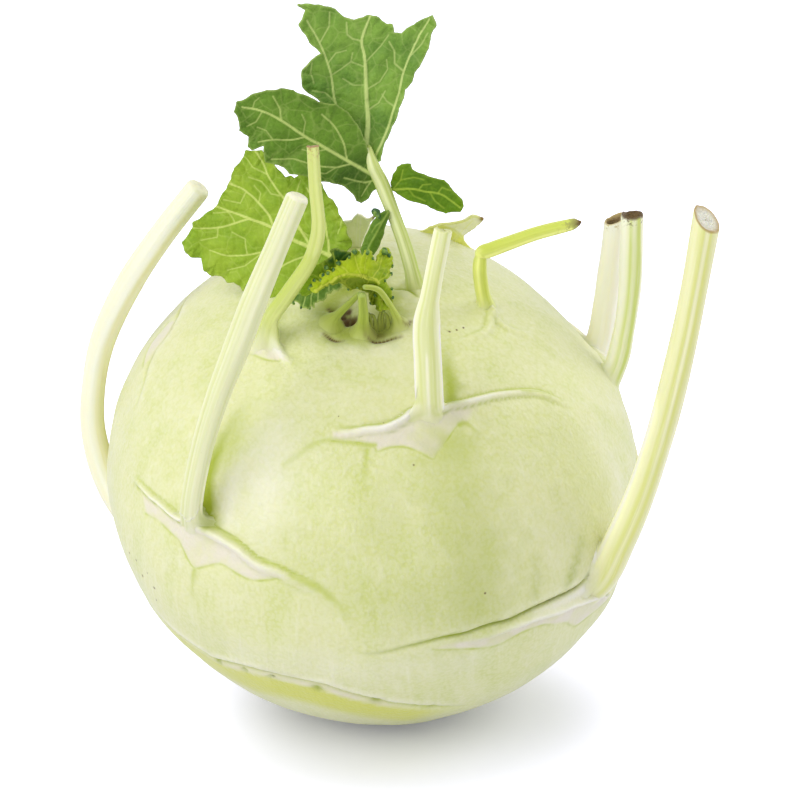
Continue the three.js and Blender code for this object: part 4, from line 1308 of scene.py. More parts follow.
leafMesh = {"cell": 0.17, "thickness": 0.34}
leafLooks = {
    "leaf_end_lobe": {
        "outline": ((-0.9, 109.4), (0.4, 110.1), (1.1, 113.2), (2.4, 116.1), (3.7, 119.4),
                    (4.8, 122.7), (6.1, 124.2), (6.5, 125.7), (8.1, 128.3), (9, 130.2),
                    (9.4, 132.8), (10.4, 134.4), (9.7, 136.4), (8.1, 135.6), (6.3, 134.4),
                    (4.1, 132.8), (2.8, 132.9), (2.5, 134.5), (1.5, 134.4), (0.6, 135),
                    (-0.4, 135.9), (-1.7, 136), (-2.8, 135.6), (-4.3, 135.2), (-6.1, 135.7),
                    (-7.6, 137.1), (-9.3, 137.7), (-11.2, 138.1), (-13.1, 138.4), (-14.6, 138.3),
                    (-13, 137.2), (-13.7, 135.5), (-14.4, 134.7), (-13, 132.6), (-12, 130.8),
                    (-10.3, 129.2), (-12.3, 127.9), (-13.7, 126.4), (-13.8, 124.4),
                    (-13.6, 123.3), (-12, 121.9), (-10.7, 120.8), (-8, 118.6), (-5.2, 114.6),
                    (-3, 111.1), (-1.7, 109.6)),
        "depth": lambda x, z: -12 + 0.3 * (z - 110) - 0.006 * (z - 110) ** 2 - 0.012 * (x + 2) ** 2,
        "veins": (
            (0.75, 0.17, ((-1.0, 109.0), (-2.2, 112.3), (-1.9, 116.8), (-2.2, 121.1),
                          (-2.3, 124.7), (-2.5, 128.4), (-3, 131.3), (-2.1, 134.3), (-1.4, 135.8))),
            (0.22, 0.12, ((-6.1, 117.3), (-7.8, 120.5), (-8.7, 126), (-10.5, 131.1), (-12.8, 135.3))),
            (0.12, 0.08, ((-10.5, 131.1), (-8.8, 134), (-8.7, 136.6))),
            (0.24, 0.13, ((-1.4, 109.6), (-0.3, 111.5), (1.5, 115.4), (3.7, 122.3), (4.5, 125.9),
                          (7, 131.9), (9.2, 135.7))),
            (0.13, 0.08, ((4.5, 125.9), (2.9, 127.3), (2.8, 129.6), (1.9, 131.2))),
            (0.13, 0.08, ((-3, 131.3), (-4.7, 131.7), (-5.6, 132.5), (-5.7, 134.7))),
            (0.09, 0.05, ((-9, 127.4), (-7.6, 129.2), (-5.8, 129.6))),
            (0.08, 0.05, ((-2.4, 126.6), (-5, 127.6), (-6.6, 126.4), (-8.6, 125.2))),
            (0.07, 0.05, ((-5, 127.6), (-4.6, 129.2))),
            (0.09, 0.05, ((-2, 119), (0, 120.2), (1.2, 122.4))),
            (0.08, 0.05, ((-2.2, 122.6), (0.2, 124), (1.6, 126.2), (1.4, 128))),
            (0.07, 0.05, ((-2.1, 123.4), (-4.6, 123.4), (-6.4, 124.6))),
            (0.08, 0.05, ((2.9, 119.6), (1.4, 120.6), (0.6, 121.8))),
            (0.08, 0.05, ((-2.4, 127.4), (0.4, 130.4), (1.8, 132.4))),
            (0.09, 0.05, ((5.6, 128.6), (7.6, 130.8), (8.8, 133))),
            (0.07, 0.05, ((-11.6, 124), (-12.2, 126), (-12, 127.6))),
            (0.07, 0.05, ((-7.8, 120.5), (-9.6, 122.2), (-11.8, 122.6))),
        ),
        "bulge": 0.5, "ruffle": (0.6, 11, 1.8), "seed": 11, "slot": "leaf",
        "deep": lambda x, z: 0.55 * np.exp(-(((x + 4.5) / 4) ** 2 + ((z - 114) / 5) ** 2)),
        "colors": ((126, 164, 62), (98, 138, 50), (196, 214, 128), (60, 96, 20)),
    },
    "leaf_left_lobe": {
        "outline": ((-25.7, 120.2), (-25.3, 122), (-22.3, 123.5), (-19.8, 124.2), (-17.4, 124.5),
                    (-15.1, 124.1), (-13.3, 123.3), (-11.1, 122.2), (-10.1, 121.7), (-7.6, 121.3),
                    (-5.4, 119.6), (-3.6, 116.9), (-2.3, 113.8), (-1, 110.2), (-0.2, 107.4),
                    (-0.2, 106.6), (-0.5, 105.1), (-1.8, 103.5), (-3.1, 102.6), (-4, 103.1),
                    (-4.7, 104.5), (-6.2, 106), (-10.2, 107.1), (-16, 108.8), (-18, 110.5),
                    (-20.3, 111), (-20.5, 112.7), (-20.5, 114), (-22.5, 113.2), (-23.4, 113.8),
                    (-23.2, 115.7), (-24.8, 116.8), (-24.8, 118.3)),
        "depth": lambda x, z: -12.5 + 0.35 * x + 0.008 * x * x,
        "veins": (
            (0.42, 0.14, ((0, 107.1), (-5.4, 110.6), (-10.1, 113.7), (-13, 115.5), (-17.3, 118.6),
                          (-20.6, 120.3), (-24.2, 121.1))),
            (0.17, 0.08, ((-5.7, 111.1), (-6.3, 114.1), (-7.9, 117.2), (-10.1, 119.5))),
            (0.16, 0.08, ((-13, 115.5), (-15.6, 115), (-18.8, 115.1), (-21.4, 114.7))),
            (0.13, 0.07, ((-17.3, 118.6), (-17.5, 120.8), (-18.7, 123.1))),
            (0.14, 0.07, ((-5.1, 110.1), (-7.6, 109.6), (-10.5, 110), (-15.2, 111.5), (-19.2, 111.5))),
            (0.13, 0.06, ((-0.3, 106.7), (-2.5, 106.4), (-6.2, 107.6))),
            (0.11, 0.06, ((-1.4, 106.5), (-3.1, 104))),
            (0.09, 0.05, ((-9, 113.2), (-11.5, 112.6), (-13.6, 113.2))),
            (0.08, 0.05, ((-13.4, 116), (-13, 118.2), (-13.6, 119.6))),
            (0.07, 0.05, ((-22.4, 120.6), (-22, 122), (-21.2, 122.8))),
            (0.08, 0.05, ((-18.8, 115.1), (-20, 116.8), (-21.6, 117.4))),
            (0.07, 0.05, ((-7.6, 109.6), (-9.4, 108.6), (-12.2, 108.9))),
            (0.09, 0.06, ((-20.6, 120.3), (-21.8, 118.4), (-23.4, 117.6))),
        ),
        "bulge": 0.4, "ruffle": (0.45, 8, 2.4), "seed": 23, "slot": "leaf",
        "deep": lambda x, z: 0.8 * np.exp(-(((x + 5) / 6) ** 2 + ((z - 109.5 - 0.3 * x) / 4.5) ** 2)),
        "colors": ((104, 142, 42), (82, 118, 28), (190, 208, 118), (46, 78, 8)),
    },
    "leaf_right_leaflet": {
        "outline": ((2.2, 104.6), (2.1, 106), (2.6, 107.6), (3.3, 108.9), (4.1, 109.4), (5.8, 109.6),
                    (6.1, 108.6), (8.5, 107.8), (11.8, 107.1), (12.6, 106.4), (13.3, 105.4),
                    (15.1, 103.8), (15.3, 102.4), (14.8, 101.4), (12.9, 101.2), (12.2, 100.9),
                    (10.4, 101.4), (7.8, 102.4), (5.2, 103), (3.4, 104)),
        "depth": lambda x, z: -12 - 0.25 * (x - 3) + 0.02 * (z - 103) ** 2,
        "veins": (
            (0.22, 0.1, ((2.2, 104.7), (3.2, 104.8), (5.9, 105.1), (8.4, 104.8), (11.1, 104.5),
                         (12.9, 103.5), (14.7, 102.2))),
            (0.1, 0.05, ((2.6, 104.8), (4, 106.6), (4.4, 108.4))),
            (0.08, 0.05, ((4, 106.6), (6.4, 107.2), (8.2, 106.9))),
            (0.09, 0.05, ((10.6, 104.5), (11.4, 105.7), (13, 105.3))),
            (0.07, 0.05, ((7.2, 105), (8, 106), (9.4, 106.2))),
            (0.09, 0.05, ((9.2, 104.7), (10.2, 103.2), (11.8, 101.9))),
            (0.07, 0.05, ((5.4, 105), (6.4, 103.8), (8.4, 103))),
        ),
        "bulge": 0.22, "ruffle": (0.3, 5, 1.6), "seed": 31, "slot": "leaf",
        "net": 0.08, "colors": ((100, 138, 10), (78, 116, 6), (160, 186, 60)),
    },
    "leaf_folded_leaflet": {
        "outline": ((1.9, 101.7), (1, 101.6), (0.1, 100.8), (-1.4, 98.8), (-2.5, 96.5),
                    (-3.3, 94.4), (-2.9, 93.4), (-0.9, 93.5), (0.4, 96.2), (1.2, 98.8), (2, 101.2)),
        "depth": lambda x, z: -15.4 + 0.55 * np.abs(x - 0.42 * (z - 97) + 0.6) - 0.1 * (98 - z),
        "veins": (
            (0.16, 0.07, ((1.7, 101.5), (0.6, 99.6), (-0.4, 97.6), (-1.5, 95.6), (-2.2, 94))),
            (0.08, 0.05, ((0.9, 100), (-0.4, 98.9), (-1.2, 97.6))),
        ),
        "bulge": 0.15, "ruffle": (0.15, 4, 1.0), "seed": 37, "slot": "leaf",
        "knobs": ((-0.45, 101.1, 0.75), (0.05, 100.5, 0.6)),
        "colors": ((100, 138, 34), (70, 108, 18), (160, 186, 84)),
    },
    "left_leaf_blade": {
        "outline": ((-36.4, 92.7), (-35.4, 94), (-34.2, 96.6), (-32.2, 98.2), (-30.4, 99.4),
                    (-28.8, 102), (-27.4, 104.5), (-26.4, 107), (-25.2, 108.7), (-24.2, 110.3),
                    (-21.3, 110.6), (-18.9, 108.2), (-16.9, 106.2), (-16, 106.6), (-15.4, 106.2),
                    (-14, 107.5), (-12.9, 107.2), (-11.6, 106.2), (-10.3, 105.6), (-9.6, 104),
                    (-8.1, 103), (-7.6, 101.6), (-7, 100.2), (-5.8, 98.4), (-5.1, 96.3),
                    (-5.1, 94.8), (-6.7, 93), (-8.9, 91.7), (-11.6, 89.4), (-14.4, 86.3),
                    (-17.2, 84.6), (-19.9, 83), (-21.8, 84.8), (-24.9, 84.4), (-26.5, 86.2),
                    (-28.1, 86), (-29.2, 87), (-30.8, 86.9), (-32.2, 87.7), (-32.4, 89),
                    (-32.9, 89.9), (-34.6, 90), (-35.6, 90.7)),
        "depth": lambda x, z: (-14 - 0.35 * (x + 9) + 0.15 * (z - 92) + 0.006 * (z - 97) ** 2),
        "veins": (
            (0.6, 0.14, ((-6.9, 92.3), (-8.9, 93), (-15.6, 95.1), (-19.2, 96.9), (-23.7, 98.2),
                         (-30.1, 99.9))),
            (0.26, 0.09, ((-19.2, 97.2), (-20.5, 99.7), (-24.2, 103), (-27.3, 104.2))),
            (0.28, 0.1, ((-12.5, 94.3), (-15, 98.4), (-17.1, 102), (-19.7, 105.5), (-22.3, 110.3))),
            (0.2, 0.08, ((-16.2, 95), (-21.1, 92.4), (-27, 91), (-31.3, 91.6))),
            (0.2, 0.08, ((-23.7, 98.2), (-29.6, 96), (-35, 95.5))),
            (0.24, 0.09, ((-8.9, 93), (-9.7, 98.4), (-11, 101.8), (-13.2, 104.6))),
            (0.2, 0.08, ((-10.7, 93.4), (-16.2, 91), (-21.5, 87.1))),
            (0.1, 0.06, ((-21.1, 92.4), (-24.6, 89.4), (-28, 88.2))),
            (0.1, 0.05, ((-20.4, 106.4), (-23, 107.4), (-24.6, 109.2))),
            (0.1, 0.05, ((-17.6, 102.8), (-19.6, 103), (-21.4, 105), (-23.8, 105.6))),
            (0.09, 0.05, ((-17.1, 102), (-15, 103.6), (-14.4, 105.8))),
            (0.09, 0.05, ((-22, 101.2), (-21.6, 103), (-22.8, 104.2))),
            (0.1, 0.05, ((-26.9, 104.1), (-28.2, 105.8))),
            (0.1, 0.05, ((-24.4, 102.8), (-25.4, 100.8), (-28.4, 101.2))),
            (0.09, 0.05, ((-26.4, 97.2), (-27.6, 99), (-30.6, 98.6))),
            (0.09, 0.05, ((-29.6, 96), (-29.8, 94.2), (-32.8, 93.4))),
            (0.09, 0.05, ((-24.2, 91.6), (-24.6, 94.4), (-27, 95.4))),
            (0.09, 0.05, ((-7.4, 97), (-6.6, 99.4))),
            (0.08, 0.05, ((-13, 96.2), (-14.6, 97.2), (-16.4, 97))),
        ),
        "bulge": 0.55, "ruffle": (0.9, 15, 1.6), "seed": 41, "slot": "leaf",
        "frill": 0.1, "colors": ((152, 180, 48), (132, 166, 36), (206, 220, 118)),
    },
    "young_leaf_blade": {
        "outline": ((-11.9, 90.1), (-12.4, 90.6), (-11.6, 90.8), (-11.9, 91.7), (-11.7, 92.3),
                    (-10.8, 91.9), (-10, 91.9), (-10.5, 92.9), (-9.8, 93.3), (-9.2, 93.2),
                    (-9.4, 93.9), (-8.6, 93.8), (-7.9, 93.5), (-8.4, 94.3), (-7.5, 94.4),
                    (-7.5, 95.5), (-6.7, 95.5), (-5.9, 95.5), (-5.5, 96), (-4.8, 96.4),
                    (-4.7, 97.2), (-4, 97.5), (-3.2, 96.9), (-2.9, 96.2), (-2.5, 97.1),
                    (-1.7, 97.3), (-1.2, 96.4), (-0.9, 95.6), (-0.5, 94.5), (-0.2, 94.8),
                    (0.2, 96), (0.9, 96.7), (1.7, 96.4), (2.2, 95.4), (2.4, 94), (2.4, 93.1),
                    (2, 92.6), (2.4, 91.9), (1.2, 91.2), (1.8, 90.2), (2.4, 89.3), (2.2, 88.6),
                    (2.5, 87.8), (2.4, 86.6), (2.1, 85.8), (0.5, 85.9), (-0.1, 85.3),
                    (-1.3, 86), (-1.7, 87.7), (-1.9, 89.4), (-2.9, 89.9), (-4, 90),
                    (-5.3, 89.8), (-6, 90.8), (-7.2, 91.5), (-8.8, 91.2), (-10.2, 90.4), (-11.4, 89.9)),
        "depth": lambda x, z: (-27 + 0.9 * np.maximum(x + 2, 0)
                               + 0.45 * np.maximum(z - youngArch(x), 0)
                               + 0.8 * np.maximum(youngArch(x) - z, 0) * smoothStep(-x, -0.4, 0.8)),
        "veins": (
            (0.3, 0.12, ((0.2, 90.9), (-0.3, 91.7), (-1.7, 92.5), (-3, 92.9), (-4.4, 93.2),
                         (-5.8, 93.2), (-7.1, 92.7), (-8.5, 91.8), (-9.8, 91.1), (-11.2, 90.2))),
            (0.1, 0.06, ((-3, 92.9), (-3.6, 94.4), (-4.2, 96.2))),
            (0.1, 0.06, ((-2.2, 92.9), (-2.3, 94.6), (-2.1, 96.2))),
            (0.1, 0.06, ((-0.9, 92.1), (0.3, 93.6), (0.9, 95.2))),
            (0.08, 0.05, ((-5.2, 93.3), (-6, 94.2), (-6.9, 94.7))),
            (0.08, 0.05, ((-0.1, 91.2), (1, 91.6), (1.9, 92.2))),
            (0.12, 0.06, ((0.1, 90.6), (0.5, 89), (0.8, 87.4), (0.5, 86.2))),
            (0.08, 0.05, ((0.5, 89), (-0.7, 88.2), (-1.2, 86.9))),
        ),
        "bulge": 0.8, "ruffle": (0.5, 17, 1.0), "seed": 53, "slot": "young_leaf", "cell": 0.13,
        # darker below the arched midrib: painted shade on the underside seen there; and a little darker low
        # on the right
        "deep": lambda x, z: (smoothStep(youngArch(x) - z, 0.1, 0.9) * smoothStep(-x, -0.5, 1.0)
                              + 0.35 * smoothStep(90.5 - z, 0, 3) * smoothStep(x, -1, 1)),
        "net": 0.3, "colors": ((172, 194, 24), (124, 156, 8), (200, 210, 74), (104, 126, 8)),
        "knobs": ((-4.2, 97, 0.5), (-2, 96.8, 0.48), (1.1, 96, 0.62), (1.8, 95.1, 0.5),
                  (-7.1, 95.1, 0.42), (-9.2, 94.2, 0.4), (-8, 94, 0.32), (-8.9, 93.4, 0.36),
                  (-9.8, 93, 0.33), (-10.2, 92.1, 0.3), (-11.4, 91.9, 0.33), (-12, 91, 0.33),
                  (-12.3, 90.5, 0.28), (-1, 95.5, 0.26), (2.5, 93.1, 0.28), (2.3, 91.9, 0.28),
                  (1.2, 91.2, 0.24), (2.4, 89.4, 0.3), (2.5, 87.8, 0.3), (-1.4, 86.4, 0.26),
                  (-0.6, 88.3, 0.28), (-3.7, 90.2, 0.24), (-5.4, 89.8, 0.24), (-5.2, 96.1, 0.26)),
    },
    "young_leaf_back": {
        "outline": ((-14.3, 88.3), (-13.6, 91.3), (-12.7, 92.4), (-11.8, 94.3), (-10.7, 94.5),
                    (-9.9, 95), (-9.5, 95.4), (-8.8, 95.7), (-8.2, 96.2), (-8.6, 97.2),
                    (-8.2, 97.5), (-7.4, 97.6), (-6.7, 97.2), (-5.8, 96.9), (-5.1, 96.7),
                    (-4.4, 95.8), (-4.8, 93.6), (-6.5, 92), (-8.8, 90.8), (-10.4, 90),
                    (-11.7, 89), (-13, 88)),
        "depth": lambda x, z: -24.6 + 0.06 * (x + 9) ** 2 - 0.15 * (z - 92),
        "veins": (
            (0.14, 0.06, ((-8.2, 91.2), (-9.6, 93.4), (-9.9, 94.8))),
            (0.12, 0.06, ((-7.2, 92.6), (-7.7, 94.8), (-8.1, 97))),
            (0.1, 0.06, ((-9.4, 90.8), (-11.6, 92.4), (-12.6, 92.2))),
        ),
        "bulge": 0.35, "ruffle": (0.4, 9, 1.0), "seed": 47, "slot": "young_leaf", "cell": 0.16,
        "deep": lambda x, z: smoothStep(x, -10.4, -8.4) * smoothStep(z, 93.6, 95.4),
        "colors": ((134, 168, 22), (106, 144, 18), (184, 204, 76), (50, 90, 26)),
        "nodes": (),
    },
    "young_leaf_dark": {
        "outline": ((-16.2, 86.6), (-16, 85.4), (-15, 85.9), (-14.2, 85.4), (-14.2, 84.7),
                    (-13.4, 84.9), (-12.7, 84.7), (-12.1, 85.3), (-11.6, 84.9), (-11.6, 85.8),
                    (-10.6, 86.3), (-9.9, 86.3), (-9.5, 86.8), (-9.3, 87.6), (-8.6, 87.7),
                    (-8.1, 88.4), (-7.3, 88.3), (-6.5, 89), (-6.9, 90.1), (-8.2, 90.9),
                    (-10.6, 90.2), (-13.4, 88.6), (-15, 87.6)),
        "depth": lambda x, z: -21 - 0.25 * (x + 8) + 0.3 * (z - 86),
        "veins": (
            (0.1, 0.06, ((-7, 90), (-9.6, 89.2), (-12.4, 88.2), (-15.4, 86.9))),
            (0.1, 0.07, ((-9, 89.4), (-9, 88.4), (-8.8, 87.8))),
            (0.1, 0.07, ((-10.6, 88.9), (-10.9, 87.6), (-10.9, 86.2))),
            (0.1, 0.07, ((-12.4, 88.2), (-13.2, 86.9), (-13.6, 85))),
            (0.08, 0.06, ((-11.6, 88.5), (-12.2, 86.9), (-12.2, 85.4))),
        ),
        "bulge": 0.3, "ruffle": (0.35, 12, 0.8), "seed": 59, "slot": "young_leaf", "cell": 0.13,
        "frill": 0.9, "colors": ((96, 132, 40), (66, 104, 30), (186, 206, 110), (60, 92, 26)),
        "knobs": ((-13.1, 89.1, 0.35), (-16, 86.2, 0.34), (-15.4, 85.6, 0.3), (-14, 84.9, 0.22),
                  (-12.4, 84.9, 0.22)),
    },
    "torn_stub_right": {
        "outline": ((7.3, 88.8), (7.7, 89.4), (9.6, 90.4), (11.4, 91.3), (12.9, 91.4), (14, 91.6),
                    (15, 91.9), (16.1, 92.3), (17, 93.1), (17.6, 93.5), (18.4, 93.2),
                    (19.8, 92.5), (19.6, 92.2), (19, 91.4), (18.2, 90.5), (17.3, 89.6),
                    (16, 88.7), (16.1, 87.8), (17, 86.7), (17.9, 85.8), (18.9, 84.6),
                    (18.6, 81.5), (11, 81.5), (8.2, 85.6)),
        "depth": lambda x, z: (12 + 0.35 * (z - 84) - np.maximum(z - 90, 0)
                               + 0.5 * np.maximum(stubFold(x) - z, 0)),
        "veins": (
            (0.22, 0.12, ((7.7, 89.2), (11.4, 91.1), (14.4, 91.6), (16.4, 92.3), (17.7, 93.3),
                          (19.6, 92.4))),
            (0.16, 0.06, ((11.6, 91.1), (13, 90.7), (14.1, 90.1), (15.1, 89.3), (16, 88.7))),
            (0.05, 0.03, ((12, 88), (14.6, 90.8))), (0.05, 0.03, ((14, 87.5), (17.6, 92.2))),
        ),
        "bulge": 0.1, "ruffle": (0.12, 6, 1.5), "seed": 61, "slot": "torn_skin", "cell": 0.18,
        "thickness": 0.5, "net": 0.04, "tip": (19.4, 92.6, 0.55),
        "deep": lambda x, z: smoothStep(stubFold(x) - z, -0.1, 0.7),
        "colors": ((254, 253, 232), (248, 248, 216), (236, 238, 150), (240, 242, 132)),
    },
    "torn_stub_middle": {
        "outline": ((-7.4, 95.2), (-6.4, 95.9), (-5.1, 96.1), (-4.4, 97.1), (-3.9, 97.5), (-3.2, 97.2),
                    (-2.5, 96.6), (-2, 96.5), (-1.4, 97.1), (-0.8, 97.4), (-0.9, 96.8),
                    (-1.6, 95.9), (-2.1, 94.3), (-2.9, 92.2), (-3.4, 90.8), (-2.6, 87.6),
                    (-2.4, 84), (-8.4, 84), (-8.8, 88), (-8.2, 92.8)),
        "depth": lambda x, z: 3 - 0.45 * (z - 86) - 0.12 * np.maximum(x + 3.6, 0) ** 2,
        "veins": (
            (0.14, 0.08, ((-3.8, 85), (-3.7, 91), (-3.4, 97))),
            (0.08, 0.05, ((-4.6, 86), (-4.3, 92), (-4, 97))),
        ),
        "bulge": 0.1, "ruffle": (0.15, 5, 1.0), "seed": 67, "slot": "torn_skin", "cell": 0.18,
        "thickness": 0.6, "net": 0.04, "tip": (-0.9, 97.1, 0.3),
        "colors": ((250, 249, 212), (240, 242, 190), (252, 250, 226), (200, 208, 116)),
    },
}


def youngArch(x):
    # how high the arched midrib of the young leaf stands
    return 93.1 - 0.075 * (x + 5) ** 2


def stubFold(x):
    # where the torn skin folds over
    return 91.4 - 0.6 * np.maximum(x - 12, 0)


def roughOutline(look):
    # the outline with fine irregular teeth between its points
    points = np.array(look["outline"], float)
    closed = np.concatenate([points, points[:1]])
    r = np.random.default_rng(look["seed"])
    fine = []
    for a, b in zip(closed[:-1], closed[1:]):
        gap = np.linalg.norm(b - a)
        steps = max(2, int(gap / 0.45))
        across = np.array((-(b - a)[1], (b - a)[0])) / max(gap, 1e-9)
        bow = r.uniform(-0.03, 0.08) * gap
        for k in range(steps):
            f = k / steps
            fine.append(a + (b - a) * f - across * (bow * math.sin(math.pi * f)
                                                    + r.uniform(-0.05, 0.05) * (k > 0)))
    return np.array(fine)


def buildLeaf(name, look):
    outline = roughOutline(look)
    loop = np.concatenate([outline, outline[:1]])
    cell = look.get("cell", leafMesh["cell"])
    low, high = outline.min(0) - cell, outline.max(0) + cell
    size = high - low
    bm = bmesh.new()
    bmesh.ops.create_grid(bm, x_segments=int(size[0] / cell), y_segments=int(size[1] / cell), size=0.5)
    flat = np.array([v.co[:2] for v in bm.verts])
    flat = low + (flat + 0.5) * size
    middles = np.array([flat[[v.index for v in f.verts]].mean(0) for f in bm.faces])
    outside = ~insideOutline(middles, outline)
    for v, p in zip(bm.verts, flat):
        v.co = (p[0], 0, p[1])
    bmesh.ops.delete(bm, geom=[f for f, gone in zip(bm.faces, outside) if gone], context="FACES")
    bm.verts.ensure_lookup_table()
    rim = [v for v in bm.verts if v.is_boundary]
    spots = nearest(np.array([(v.co.x, v.co.z) for v in rim]), loop)[2]
    for v, q in zip(rim, spots):
        v.co = (q[0], 0, q[1])
    mesh = meshFrom(bm, name + "_grown")
    place = getPoints(mesh)
    flat = place[:, [0, 2]]
    margin, roundIt, _, _ = nearest(flat, loop)
    vein = np.full(len(flat), 9.0)
    raised = np.zeros(len(flat))
    strength = np.zeros(len(flat))
    for wide, thin, points in look["veins"]:
        # the thin veins are angular
        line = spline(points, np.linspace(0, 1, 8 * len(points))) if wide > 0.15 else np.array(points, float)
        d, f, _, _ = nearest(flat, line)
        half = wide + (thin - wide) * f ** 0.6
        vein = np.minimum(vein, np.maximum(d - half, 0))
        strength = np.maximum(strength, np.clip(1.2 - np.maximum(d - half * 0.5, 0) / 0.13, 0, 1)
                              * min(1, 0.42 + 2.4 * wide))
        raised = np.maximum(raised, max(wide - 0.16, 0) * (1 - f) * np.exp(-(d / (half + 0.1)) ** 2))
    depth = look["depth"]
    x, z = flat[:, 0], flat[:, 1]
    y = depth(x, z)
    e = 0.05
    slopeX = (depth(x + e, z) - depth(x - e, z)) / (2 * e)
    slopeZ = (depth(x, z + e) - depth(x, z - e)) / (2 * e)
    normal = unit(np.stack([slopeX, -np.ones(len(x)), slopeZ], 1))
    points = np.stack([x, y, z], 1)
    out = look["bulge"] * (1 - np.exp(-(vein / 1.5) ** 1.5)) - 0.5 * look["bulge"]
    out = out * smoothStep(margin, -0.4, 1.4) + raised
    out += look["bulge"] * (0.22 * lumps(points, 3.4, look["seed"]) + 0.05 * lumps(points, 1.3, 5))
    height, waves, reach = look["ruffle"]
    out += height * ripple(roundIt * waves, look["seed"] + 1) * np.exp(-margin / reach)
    setPoints(mesh, (points + normal * out[:, None]) * mm)
    setMask(mesh, "vein", strength)
    setMask(mesh, "rim", np.exp(-(margin / 0.2) ** 2))
    # groove: the blade right beside each vein, where a little shade is painted in the finish
    setMask(mesh, "groove", np.exp(-(vein / 0.3) ** 2) * (1 - strength))
    setMask(mesh, "deep", look["deep"](x, z) if "deep" in look else 0 * x)
    if "tip" in look:
        tipX, tipZ, size = look["tip"]
        setMask(mesh, "tip", np.exp(-((x - tipX) ** 2 + (z - tipZ) ** 2) / size ** 2))
    bm = bmesh.new()
    bm.from_mesh(mesh)
    bmesh.ops.recalc_face_normals(bm, faces=bm.faces)
    bm.to_mesh(mesh)
    bm.free()
    if "knobs" in look:
        addKnobs(name, look)
    return mesh


def addKnobs(name, look):
    # the rolled dark tips of the margin teeth on a young leaf
    r = np.random.default_rng(look["seed"] + 3)
    bm = bmesh.new()
    for x, z, size in look["knobs"]:
        made = bmesh.ops.create_icosphere(bm, subdivisions=3, radius=size)["verts"]
        y = float(look["depth"](x, z)) - 0.2
        ball = np.array([v.co[:] for v in made])
        ball *= (r.uniform(0.75, 1.05), 0.8, r.uniform(1.0, 1.35))
        ball += 0.16 * size * lumps(ball + (x, 0, z), 0.5, 7)[:, None] * unit(ball)
        turn = r.uniform(-0.6, 0.6)
        place = np.stack([x + ball[:, 0] * math.cos(turn) - ball[:, 2] * math.sin(turn), y + ball[:, 1],
                          z + ball[:, 0] * math.sin(turn) + ball[:, 2] * math.cos(turn)], 1)
        for v, p in zip(made, place * mm):
            v.co = p
    mesh = meshFrom(bm, name + "_tips")
    material, tree, shader = newFinish(name + "_tips", 0.3, 0.35)
    place = addNode(tree, "ShaderNodeTexCoord").outputs["Object"]
    tone = noiseAt(tree, place, 900.0, 3.0)
    color = mixColor(tree, band(tree, tone, 0.4, 0.68), rgb(54, 98, 44), rgb(140, 174, 76))
    plug(tree, color, shader.inputs["Base Color"])
    plug(tree, bumpOf(tree, tone, 0.0002, 0.4), shader.inputs["Normal"])
    makePiece(mesh, material, [])


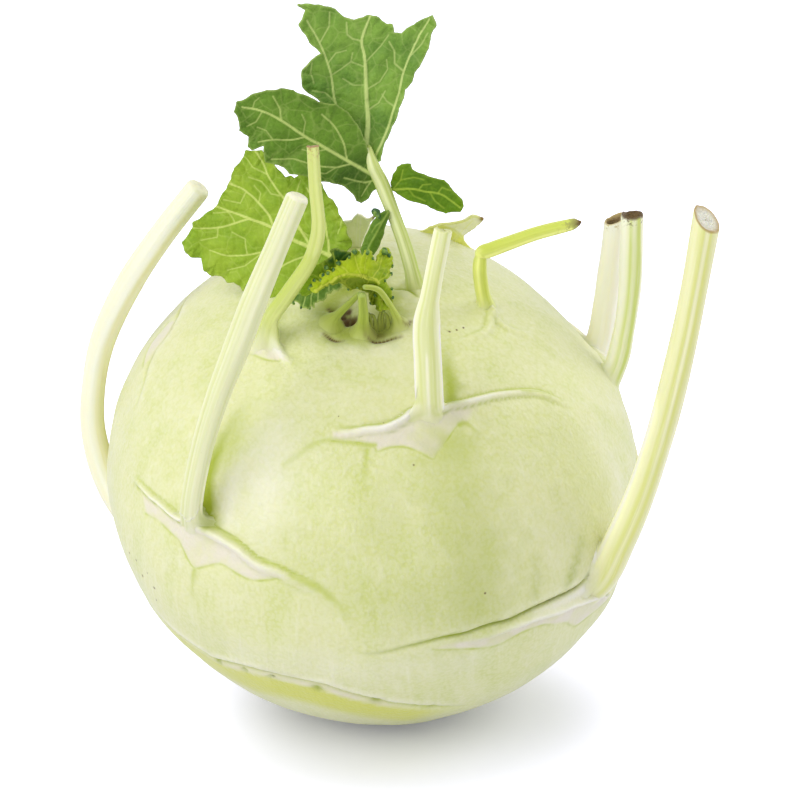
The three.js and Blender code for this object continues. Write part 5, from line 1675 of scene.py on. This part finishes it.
def makeNet():
    # the fine net of veins: lines and the blisters between them
    group, given, out = newGroup(
        "leaf_net", (("Vector", "NodeSocketVector", None), ("Scale", "NodeSocketFloat", 300.0)),
        (("Lines", "NodeSocketFloat"), ("Height", "NodeSocketFloat")))
    sway = addNode(group, "ShaderNodeTexNoise")
    plug(group, given["Vector"], sway.inputs["Vector"])
    plug(group, given["Scale"], sway.inputs["Scale"])
    push = addNode(group, "ShaderNodeVectorMath", operation="MULTIPLY_ADD")
    plug(group, sway.outputs["Color"], push.inputs[0])
    push.inputs[1].default_value = (0.0016, 0.0016, 0.0016)
    plug(group, given["Vector"], push.inputs[2])
    large = cellsAt(group, push.outputs[0], given["Scale"], "DISTANCE_TO_EDGE")
    small = cellsAt(group, push.outputs[0], maths(group, "MULTIPLY", given["Scale"], 3.1), "DISTANCE_TO_EDGE")
    lines = maths(group, "ADD", band(group, large, 0.0, 0.055, 1.0, 0.0),
                  maths(group, "MULTIPLY", band(group, small, 0.0, 0.12, 1.0, 0.0), 0.3), clamp=True)
    plug(group, lines, out["Lines"])
    smallCells = maths(group, "MULTIPLY", band(group, small, 0.0, 0.35), 0.5)
    height = maths(group, "ADD", band(group, large, 0.0, 0.3), smallCells)
    plug(group, height, out["Height"])
    return group


leafNet = makeNet()


def leafFinish(name, look):
    material, tree, shader = newFinish(name + "_blade", 0.5, 0.2)
    place = addNode(tree, "ShaderNodeTexCoord").outputs["Object"]
    flat = scaled(tree, place, (1.0, 0.25, 1.0))
    net = useGroup(tree, leafNet, {"Vector": flat, "Scale": 260.0})
    main, dark, veinColor = (rgb(*c) for c in look["colors"][:3])
    light = rgb(*[min(255, c * 1.12 + 6) for c in look["colors"][0]])
    broad = noiseAt(tree, place, 110.0, 3.0, 0.55)
    fine = noiseAt(tree, place, 1500.0, 3.0, 0.6)
    color = mixColor(tree, band(tree, broad, 0.38, 0.66), main, dark)
    color = mixColor(tree, band(tree, fine, 0.45, 0.8, 0, 0.35), color, light)
    # the fourth colour over the deep mask: darker patches, which on the young leaf are painted shade below
    # its arched midrib
    if len(look["colors"]) > 3:
        color = mixColor(tree, mask(tree, "deep"), color, rgb(*look["colors"][3]))
    lines = maths(tree, "MULTIPLY", net["Lines"], look.get("net", 0.16))
    color = mixColor(tree, lines, color, veinColor)
    # painted shade beside the veins, darkening the blade next to each vein as if in a groove
    color = mixColor(tree, maths(tree, "MULTIPLY", mask(tree, "groove"), 0.3), color, dark)
    rim = maths(tree, "MULTIPLY", mask(tree, "rim"), look.get("frill", 0.4))
    color = mixColor(tree, rim, color, veinColor)
    color = mixColor(tree, mask(tree, "vein"), color, veinColor)
    if "tip" in look:
        color = mixColor(tree, mask(tree, "tip"), color, rgb(136, 104, 34))
    plug(tree, color, shader.inputs["Base Color"])
    normal = bumpOf(tree, net["Height"], 0.00022, 0.55)
    normal = bumpOf(tree, fine, 0.00008, 0.35, normal)
    plug(tree, normal, shader.inputs["Normal"])
    return material


for name, look in leafLooks.items():
    piece = makePiece(buildLeaf(name, look), leafFinish(name, look), list(look.get("nodes", (name,))))
    sheet = piece.modifiers.new("thickness", "SOLIDIFY")
    sheet.thickness = look.get("thickness", leafMesh["thickness"]) * mm
    sheet.offset = 0
print("leaves are out")
